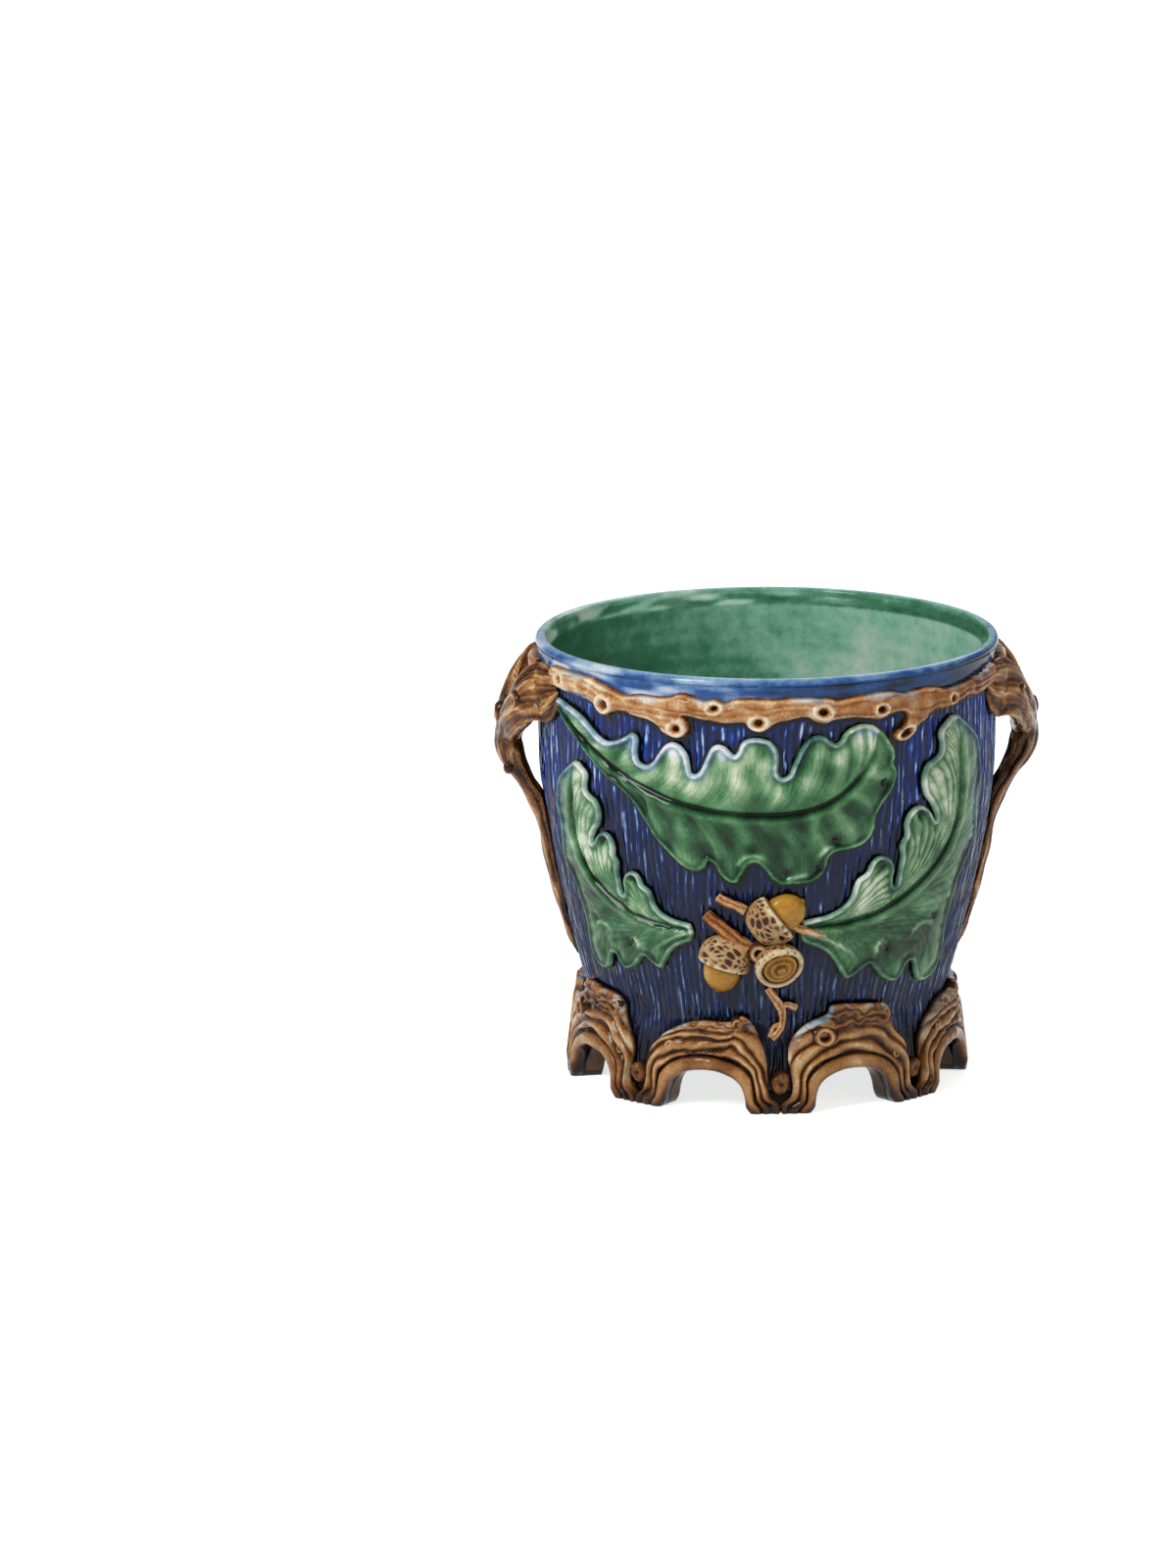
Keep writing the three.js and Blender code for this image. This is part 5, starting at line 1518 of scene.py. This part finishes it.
def ground_tree():
    metres = {
        "Lowest": GROUND_LOW, "Arch rise": GROUND_RISE, "Foot top": FOOT_TOP,
        "Shoulder height": SHOULDER_HEIGHT, "Wall top": GROUND_TOP, "Waist": WAIST, "Shoulder": SHOULDER,
        "Ridge depth": 1.3, "Pool and shade reach": 3.8}
    tree, given, result = node_tree("combed_ground", [
        ("Columns", "Int", 700), ("Rows", "Int", 110), ("Turn", "Float", 0.0), ("Ridges", "Float", RIDGES),
        ("Swell", "Float", BELLY), ("Reliefs", "Collection", None), ("Glaze", "Material", None),
        *((label, "Float", value * MM) for label, value in metres.items())])
    plus, minus, times, over, power = (
        partial(calc, tree, kind) for kind in ("ADD", "SUBTRACT", "MULTIPLY", "DIVIDE", "POWER"))
    above = partial(calc, tree, "MAXIMUM")

    def between(value, a, b, low=0.0, high=1.0):
        """Runs smoothly from low to high while a value runs from a to b."""
        inputs = {"Value": value, "From Min": a, "From Max": b, "To Min": low, "To Max": high}
        return node(tree, "ShaderNodeMapRange", inputs, interpolation_type="SMOOTHSTEP").outputs["Result"]

    def vector(*xyz):
        return node(tree, "ShaderNodeCombineXYZ", dict(enumerate(xyz))).outputs["Vector"]

    def place():
        where = node(tree, "GeometryNodeInputPosition").outputs["Position"]
        return node(tree, "ShaderNodeSeparateXYZ", {"Vector": where}).outputs

    def moved_by(shape, **inputs):
        return node(tree, "GeometryNodeSetPosition", {"Geometry": shape, **inputs}).outputs["Geometry"]

    def stored(shape, **fields):
        for name, value in fields.items():
            inputs = {"Name": name, "Geometry": shape, "Value": value}
            shape = node(tree, "GeometryNodeStoreNamedAttribute", inputs).outputs["Geometry"]
        return shape

    grid = node(tree, "GeometryNodeMeshGrid", {
        "Size X": math.pi, "Size Y": 1, "Vertices X": given["Columns"], "Vertices Y": given["Rows"]})
    flat = place()
    angle = plus(flat["X"], given["Turn"])
    east, north = calc(tree, "SINE", angle), times(calc(tree, "COSINE", angle), -1)
    notch = power(calc(tree, "ABSOLUTE", calc(tree, "COSINE", times(angle, ARCH_COUNT / 2))), 1.5)
    start = plus(given["Lowest"], times(minus(1, notch), given["Arch rise"]))
    height = plus(start, times(plus(flat["Y"], 0.5), minus(given["Wall top"], start)))
    belly = minus(given["Shoulder height"], given["Foot top"])
    rise = over(minus(height, given["Foot top"]), belly, clamp=True)
    wider = minus(given["Shoulder"], given["Waist"])
    swollen = times(minus(1, power(minus(1, rise), given["Swell"])), wider)
    flare = times(above(minus(height, given["Shoulder height"]), 0), FLARE / 75)
    spread = times(above(minus(given["Foot top"], height), 0), FOOT_SPREAD / FOOT_TOP)
    radius = plus(plus(given["Waist"], swollen), plus(flare, spread))

    def cloud(across, up, detail=2.0):
        """Noise on the wall, stretched by its scales round the wall and up it."""
        return noise(tree, vector(times(east, across), times(north, across), times(height, up)), 1, detail)

    push = times(minus(cloud(11.0, 22.0, 3.0), 0.5), 15.0)
    wave = calc(tree, "SINE", plus(times(angle, given["Ridges"]), push))
    whole = power(plus(times(wave, 0.5), 0.5), 0.8)
    ridge = times(whole, between(cloud(26.0, 48.0), 0.36, 0.6, 0.3, 1.0))
    sheet = stored(grid.outputs["Mesh"], ridge=ridge, streak=cloud(150.0, 62.0), cloud=cloud(3.2, 16.0))
    sheet = moved_by(sheet, Position=vector(times(radius, east), times(radius, north), height))
    laid = node(tree, "GeometryNodeCollectionInfo", {"Collection": given["Reliefs"]}).outputs["Instances"]
    solid = node(tree, "GeometryNodeRealizeInstances", {"Geometry": laid}).outputs["Geometry"]
    far = node(tree, "GeometryNodeProximity", {0: solid}).outputs["Distance"]
    # painted shade and pooled glaze: the colour darkens within this reach of a relief
    sheet = stored(sheet, open=between(far, 0.0005, given["Pool and shade reach"]))
    ridge, is_open, here = field(tree, "ridge"), field(tree, "open"), place()
    lift = times(minus(ridge, 0.55), times(given["Ridge depth"], between(is_open, 0.0, 0.8, 0.3, 1.0)))
    outwards = node(tree, "ShaderNodeVectorMath", {0: vector(here["X"], here["Y"])}, operation="NORMALIZE")
    shift = {0: outwards.outputs["Vector"], "Scale": lift}
    shift = node(tree, "ShaderNodeVectorMath", shift, operation="SCALE").outputs["Vector"]
    sheet = moved_by(sheet, Offset=shift)
    high = between(here["Z"], 0.12, 0.235)
    # painted highlight: short pale dashes on the ridge crests high on the wall stand for glints of the lamp
    glint = times(between(ridge, 0.6, 0.88), between(field(tree, "streak"), 0.46, 0.54))
    painted_glint_dashes = times(glint, between(high, 0.0, 1.0, 0.38, 0.46))
    crests = times(ridge, between(high, 0.0, 1.0, 0.22, 0.34))
    # near the reliefs the tone falls nearly to black: pooled glaze and painted shade
    tone = times(plus(plus(0.16, crests), painted_glint_dashes), between(is_open, 0.1, 0.9, 0.06, 1.0))
    tone = times(tone, between(here["Z"], 0.03, 0.05, 0.1, 1.0))
    wash = times(high, between(field(tree, "cloud"), 0.3, 0.62, 0.2, 1.0))
    return end_tree(tree, stored(sheet, tone=tone, wash=wash), given["Glaze"], result)


GROUND = ground_tree()
print("nodes of the ground tree:", len(GROUND.nodes))


# %% The sheet and its back
def backed(made, columns, rows, behind):
    """Turns in the edges of the grown sheet and gives it a plain back: one closed skin."""
    mesh = made.data
    points = np.empty(len(mesh.vertices) * 3)
    mesh.vertices.foreach_get("co", points)
    points = points.reshape(columns, rows, 3)
    glazes = []
    for key in ("tone", "wash"):
        values = np.empty(len(mesh.vertices))
        mesh.attributes[key].data.foreach_get("value", values)
        glazes.append(values)
    # the back's rows are close round the waist, where a long step would cut through the hollow of the wall
    shares = np.r_[np.linspace(0, 0.31, 11), np.linspace(0.46, 1, 4)]
    pick = (shares * (rows - 1)).round().astype(int)
    rear = points[:, pick].copy()
    rear[..., :2] *= 1 - behind / np.linalg.norm(rear[..., :2], axis=2, keepdims=True)
    front = np.arange(columns * rows).reshape(columns, rows)
    back = columns * rows + np.arange(columns * len(pick)).reshape(columns, len(pick))

    def quads(a, b, c, d):
        return np.stack([a, b, c, d], -1).reshape(-1, 4).tolist()

    faces = quads(front[:-1, :-1], front[1:, :-1], front[1:, 1:], front[:-1, 1:])
    faces += quads(back[:-1, :-1], back[:-1, 1:], back[1:, 1:], back[1:, :-1])
    faces += quads(front[:-1, 0], back[:-1, 0], back[1:, 0], front[1:, 0])
    faces += quads(front[:-1, -1], front[1:, -1], back[1:, -1], back[:-1, -1])
    faces += [(*front[0], *back[0, ::-1]), (*front[-1, ::-1], *back[-1])]
    plain = np.zeros(back.size)
    return Clay(
        np.vstack([points.reshape(-1, 3), rear.reshape(-1, 3)]), faces,
        *(np.concatenate([values, plain]) for values in glazes)).outward()


relief_set = bpy.data.collections.new("reliefs")
for piece in reliefs:
    relief_set.objects.link(piece)
COLUMNS, ROWS = ((660, 132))
for face, turn in FACES:
    sizes = {"Columns": COLUMNS, "Rows": ROWS, "Turn": turn, "Reliefs": relief_set, "Glaze": COBALT}
    sheet = grown(f"sheet_{face}", GROUND, [(0, 0, 0)], sizes)
    ground = backed(sheet, COLUMNS, ROWS, GROUND_THICKNESS * MM)
    bpy.data.objects.remove(sheet)
    lay(f"combed_ground_{face}", ground, COBALT, "cobalt_body")

# %% [markdown]
# ## The thrown bowl
#
# Rim, inside, floor and the spigot that drops into the foot were thrown as one, so they are one closed
# turned shape. Its outline is walked from the middle of the underside, up the outside and over the lip,
# and down to the middle of the floor. The thrower's fingers left faint rings up the wall and a spiral on
# the floor, which are added to the outline's radius and height, and the turntable's run of glaze gives
# the streaks on the rim. Pale patches on the left of the rim are painted reflections of the window lamp,
# and the right of the rim is painted a little darker as shade; the inside is painted paler towards the
# right, where the lamp's light falls. The floor is darker where it meets the inside wall, in patches.

# %% The bowl's outline
FLOOR_TOP = FLOOR_HEIGHT + 7
LIP_INNER = RIM - 0.93 * WALL
LIP_START = HEIGHT - 5.4
GROUND_CORE = 1.5  # how far the plain wall stays behind the combed ground
OUTSIDE, LIP, INSIDE, FLOOR = range(4)


def bowl_outline():
    """Rows of (radius, height, zone), from the middle of the underside round to the middle of the floor."""
    turn, floor_edge = FLOOR_TOP + 10, WAIST - WALL
    rows = [(r, FLOOR_HEIGHT, OUTSIDE) for r in np.linspace(3, SPIGOT - 0.6, 9)]
    rows += [(SPIGOT, FLOOR_HEIGHT + 0.6, OUTSIDE), (SPIGOT, FOOT_TOP + 0.4, OUTSIDE)]
    rows += [(wall_radius(z) - GROUND_CORE, z, OUTSIDE) for z in np.linspace(FOOT_TOP + 0.45, 246, 26)]
    rows += [(wall_radius(z), z, LIP) for z in np.linspace(247.5, LIP_START, 16)]
    lip = smooth([(wall_radius(LIP_START), LIP_START), (RIM, HEIGHT - 3.4), (RIM - 1.1, HEIGHT - 1.0),
                  ((RIM + LIP_INNER) / 2, HEIGHT), (LIP_INNER + 0.9, HEIGHT - 1.0), (LIP_INNER, HEIGHT - 4),
                  (wall_radius(HEIGHT - 9) - WALL, HEIGHT - 9)], 5)
    rows += [(r, z, LIP) for r, z in lip[1:]]
    rows += [(wall_radius(z) - WALL, z, INSIDE) for z in np.linspace(HEIGHT - 11, turn, 84)]
    turn_in = smooth([(wall_radius(turn) - WALL, turn), (floor_edge - 1.6, FLOOR_TOP + 5),
                      (floor_edge - 4.6, FLOOR_TOP + 1.6), (floor_edge - 10, FLOOR_TOP)], 5)
    rows += [(r, z, FLOOR) for r, z in turn_in[1:]]
    return rows + [(r, FLOOR_TOP, FLOOR) for r in np.linspace(floor_edge - 11, 2, 64)]


print("rows of the bowl's outline:", len(bowl_outline()))


# %% Bowl
def bowl():
    around = 300
    angle = np.arange(around)[None] / around * 2 * math.pi
    rows = bowl_outline()
    radius, height, zone = (np.array(column)[:, None] for column in zip(*rows))
    is_inside, is_floor, is_rim = zone == INSIDE, zone == FLOOR, zone == LIP
    down = ramp(HEIGHT - height, 8, 40)
    unsteady = 1.3 * np.sin(angle) + 0.8 * ripple(height / 30, 0 * height, 81)
    rings = np.sin(2 * math.pi * height / 9.5 + unsteady)
    slow = ripple(height / 60, 2.2 * np.sin(angle), 82)
    r = radius + is_inside * down * (0.07 * rings + 0.3 * slow)
    r = r + is_rim * 0.12 * ripple(angle * 3, height / 9, 83)
    spiral = np.sin(2 * math.pi * radius / 8.5 - angle)
    spiral = spiral * ramp(radius, 3, 16) * ramp(WAIST - 14 - radius, 0, 12)
    z = height + is_floor * (0.42 * spiral + 0.5 * bell(radius - 8, 5)) * np.ones_like(angle)
    streaks = ripple(angle * 5, height / 2.6, 84) + 0.6 * ripple(angle * 17, height / 1.7, 85)
    over_lip = bell(radius - (RIM + LIP_INNER) / 2, 3.2) * (height > HEIGHT - 3.4)
    blue = np.where(is_rim & (radius > LIP_INNER + 2.2), 1.0, 0.0) * ramp(height, 240, 247)
    blue = blue - 0.55 * over_lip * ramp(ripple(angle * 4, 0 * height, 86), -0.2, 0.9)
    # darker where the floor meets the inside wall, in patches
    floor_corner_darkening = bell(height - FLOOR_TOP - 3, 6) * (radius > WAIST - 34)
    floor_corner_darkening = floor_corner_darkening + is_floor * bell(radius - WAIST + 22, 9)
    floor_corner_darkening = np.clip(floor_corner_darkening, 0, 1) * ramp(ripple(angle * 2.4, radius / 14, 87), -0.9, 0.7)
    # painted light: pale patches on the left of the rim are painted reflections of the window lamp, and the
    # right of the rim is painted darker as shade
    painted_window_glints = ramp(ripple(angle * 7, height / 5, 88), -0.3, 0.7)
    east = np.sin(angle + 0.25)
    rim_streaks_and_painted_light = 0.09 * streaks + 0.52 * painted_window_glints * ramp(-east, -0.3, 0.5) - 0.04 - 0.2 * np.clip(east, 0, 1)
    tone = 0.5 + rim_streaks_and_painted_light * is_rim * (1 - over_lip) + 0.3 * over_lip - 0.4 * floor_corner_darkening
    tone = tone + (0.02 * rings + 0.06 * slow) * is_inside + 0.1 * spiral * is_floor
    tone = tone + (zone == OUTSIDE) * 0.2
    # painted light and shade: the inside wall is paler towards the back right, where the window lamp's
    # light falls, and darker towards the front left
    tone = tone + 0.34 * is_inside * np.sin(angle - 0.6) * ramp(height, 60, 200)
    ones = np.ones((len(rows), around))
    points = np.stack([r * np.sin(angle) * ones, -r * np.cos(angle) * ones, z * ones], -1) * MM
    return tube(points, np.clip(tone * ones, 0, 1), np.clip(blue * ones, 0, 1))


lay("thrown_bowl", bowl(), BOWL, "cobalt_body", "pot_body")

# %% [markdown]
# ## Studio
#
# A pale floor and a white room, with one window-like lamp high on the left for the long glints on the
# glaze, a weaker one on the right and one behind to part the handles from the background. The floor adds
# a little white of its own where the camera or a reflection looks at it, so the background is white and
# the shadow stays.


# %% Lamps, room and floor
def softbox(name, place, aim, size, power):
    lamp = bpy.data.lights.new(name, "AREA")
    lamp.shape = "RECTANGLE"
    lamp.size, lamp.size_y = size
    lamp.energy = power
    held = bpy.data.objects.new(name, lamp)
    held.location = place
    held.rotation_euler = (Vector(aim) - Vector(place)).to_track_quat("-Z", "Y").to_euler()
    bpy.context.scene.collection.objects.link(held)


MIDDLE = (0, 0, 0.13)
softbox("window", (-1.5, -1.3, 1.8), MIDDLE, (0.7, 1.1), 36)
softbox("fill", (1.9, -1.5, 0.9), MIDDLE, (1.2, 1.2), 7)
softbox("behind", (0.5, 1.8, 1.6), MIDDLE, (1.2, 1.0), 10)

scene = bpy.context.scene
scene.view_settings.view_transform = "Standard"
room = bpy.data.worlds.new("white_room")
room.use_nodes = True
background = room.node_tree.nodes["Background"].inputs
background["Color"].default_value = (1, 1, 1, 1)
background["Strength"].default_value = 0.32
scene.world = room

FLOOR_REACH = 20
FLOOR_WHITE = 0.74
corners = [(x * FLOOR_REACH, y * FLOOR_REACH, 0) for x, y in ((-1, -1), (1, -1), (1, 1), (-1, 1))]
floor_mesh = bpy.data.meshes.new("floor")
floor_mesh.from_pydata(corners, [], [(0, 1, 2, 3)])
pale = bpy.data.materials.new("pale_floor")
pale.use_nodes = True
surface = pale.node_tree.nodes["Principled BSDF"].inputs
surface["Base Color"].default_value = (0.86, 0.86, 0.86, 1)
surface["Roughness"].default_value = 0.9
surface["Emission Color"].default_value = (1, 1, 1, 1)
rays = node(pale.node_tree, "ShaderNodeLightPath").outputs
seen = calc(pale.node_tree, "MAXIMUM", rays["Is Camera Ray"], rays["Is Glossy Ray"])
seen = calc(pale.node_tree, "MAXIMUM", seen, rays["Is Transmission Ray"])
own_white = calc(pale.node_tree, "MULTIPLY", seen, FLOOR_WHITE)
pale.node_tree.links.new(own_white, surface["Emission Strength"])
floor_mesh.materials.append(pale)
floor = bpy.data.objects.new("floor", floor_mesh)
scene.collection.objects.link(floor)
print("lamps:", [lamp.name for lamp in bpy.data.lights])

# %% [markdown]
# ## Camera
#
# The photograph was taken from some seven metres with a long lens, a little above the rim and four
# degrees to the left. The pot stands right of the middle and low in the picture: two small lens shifts
# put it there without turning the camera.

# %% Camera
PHOTO_WIDTH, PHOTO_HEIGHT = 1200, 1600
POT_IN_PHOTO = (782.5, 867)  # where the middle of the pot's axis stands in the photograph
AIM = Vector((0, 0, HEIGHT / 2 * MM))
EYE = Vector((-0.4709, -6.7336, 1.677))
lens = bpy.data.cameras.new("camera")
lens.sensor_fit = "VERTICAL"
lens.sensor_height = 36
lens.lens = 262
lens.shift_x = (PHOTO_WIDTH / 2 - POT_IN_PHOTO[0]) / PHOTO_HEIGHT
lens.shift_y = (POT_IN_PHOTO[1] - PHOTO_HEIGHT / 2) / PHOTO_HEIGHT
camera = bpy.data.objects.new("camera", lens)
camera.location = EYE
camera.rotation_euler = (AIM - EYE).to_track_quat("-Z", "Y").to_euler()
scene.collection.objects.link(camera)
scene.camera = camera
print("camera", round((AIM - EYE).length, 2), "m from the pot")

# %% [markdown]
# ## The end
#
# The knot and the nub that the tree copied are removed; their copies stay.

# %% The end: the patterns are removed
for pattern in (KNOT, NUB):
    bpy.data.objects.remove(pattern)
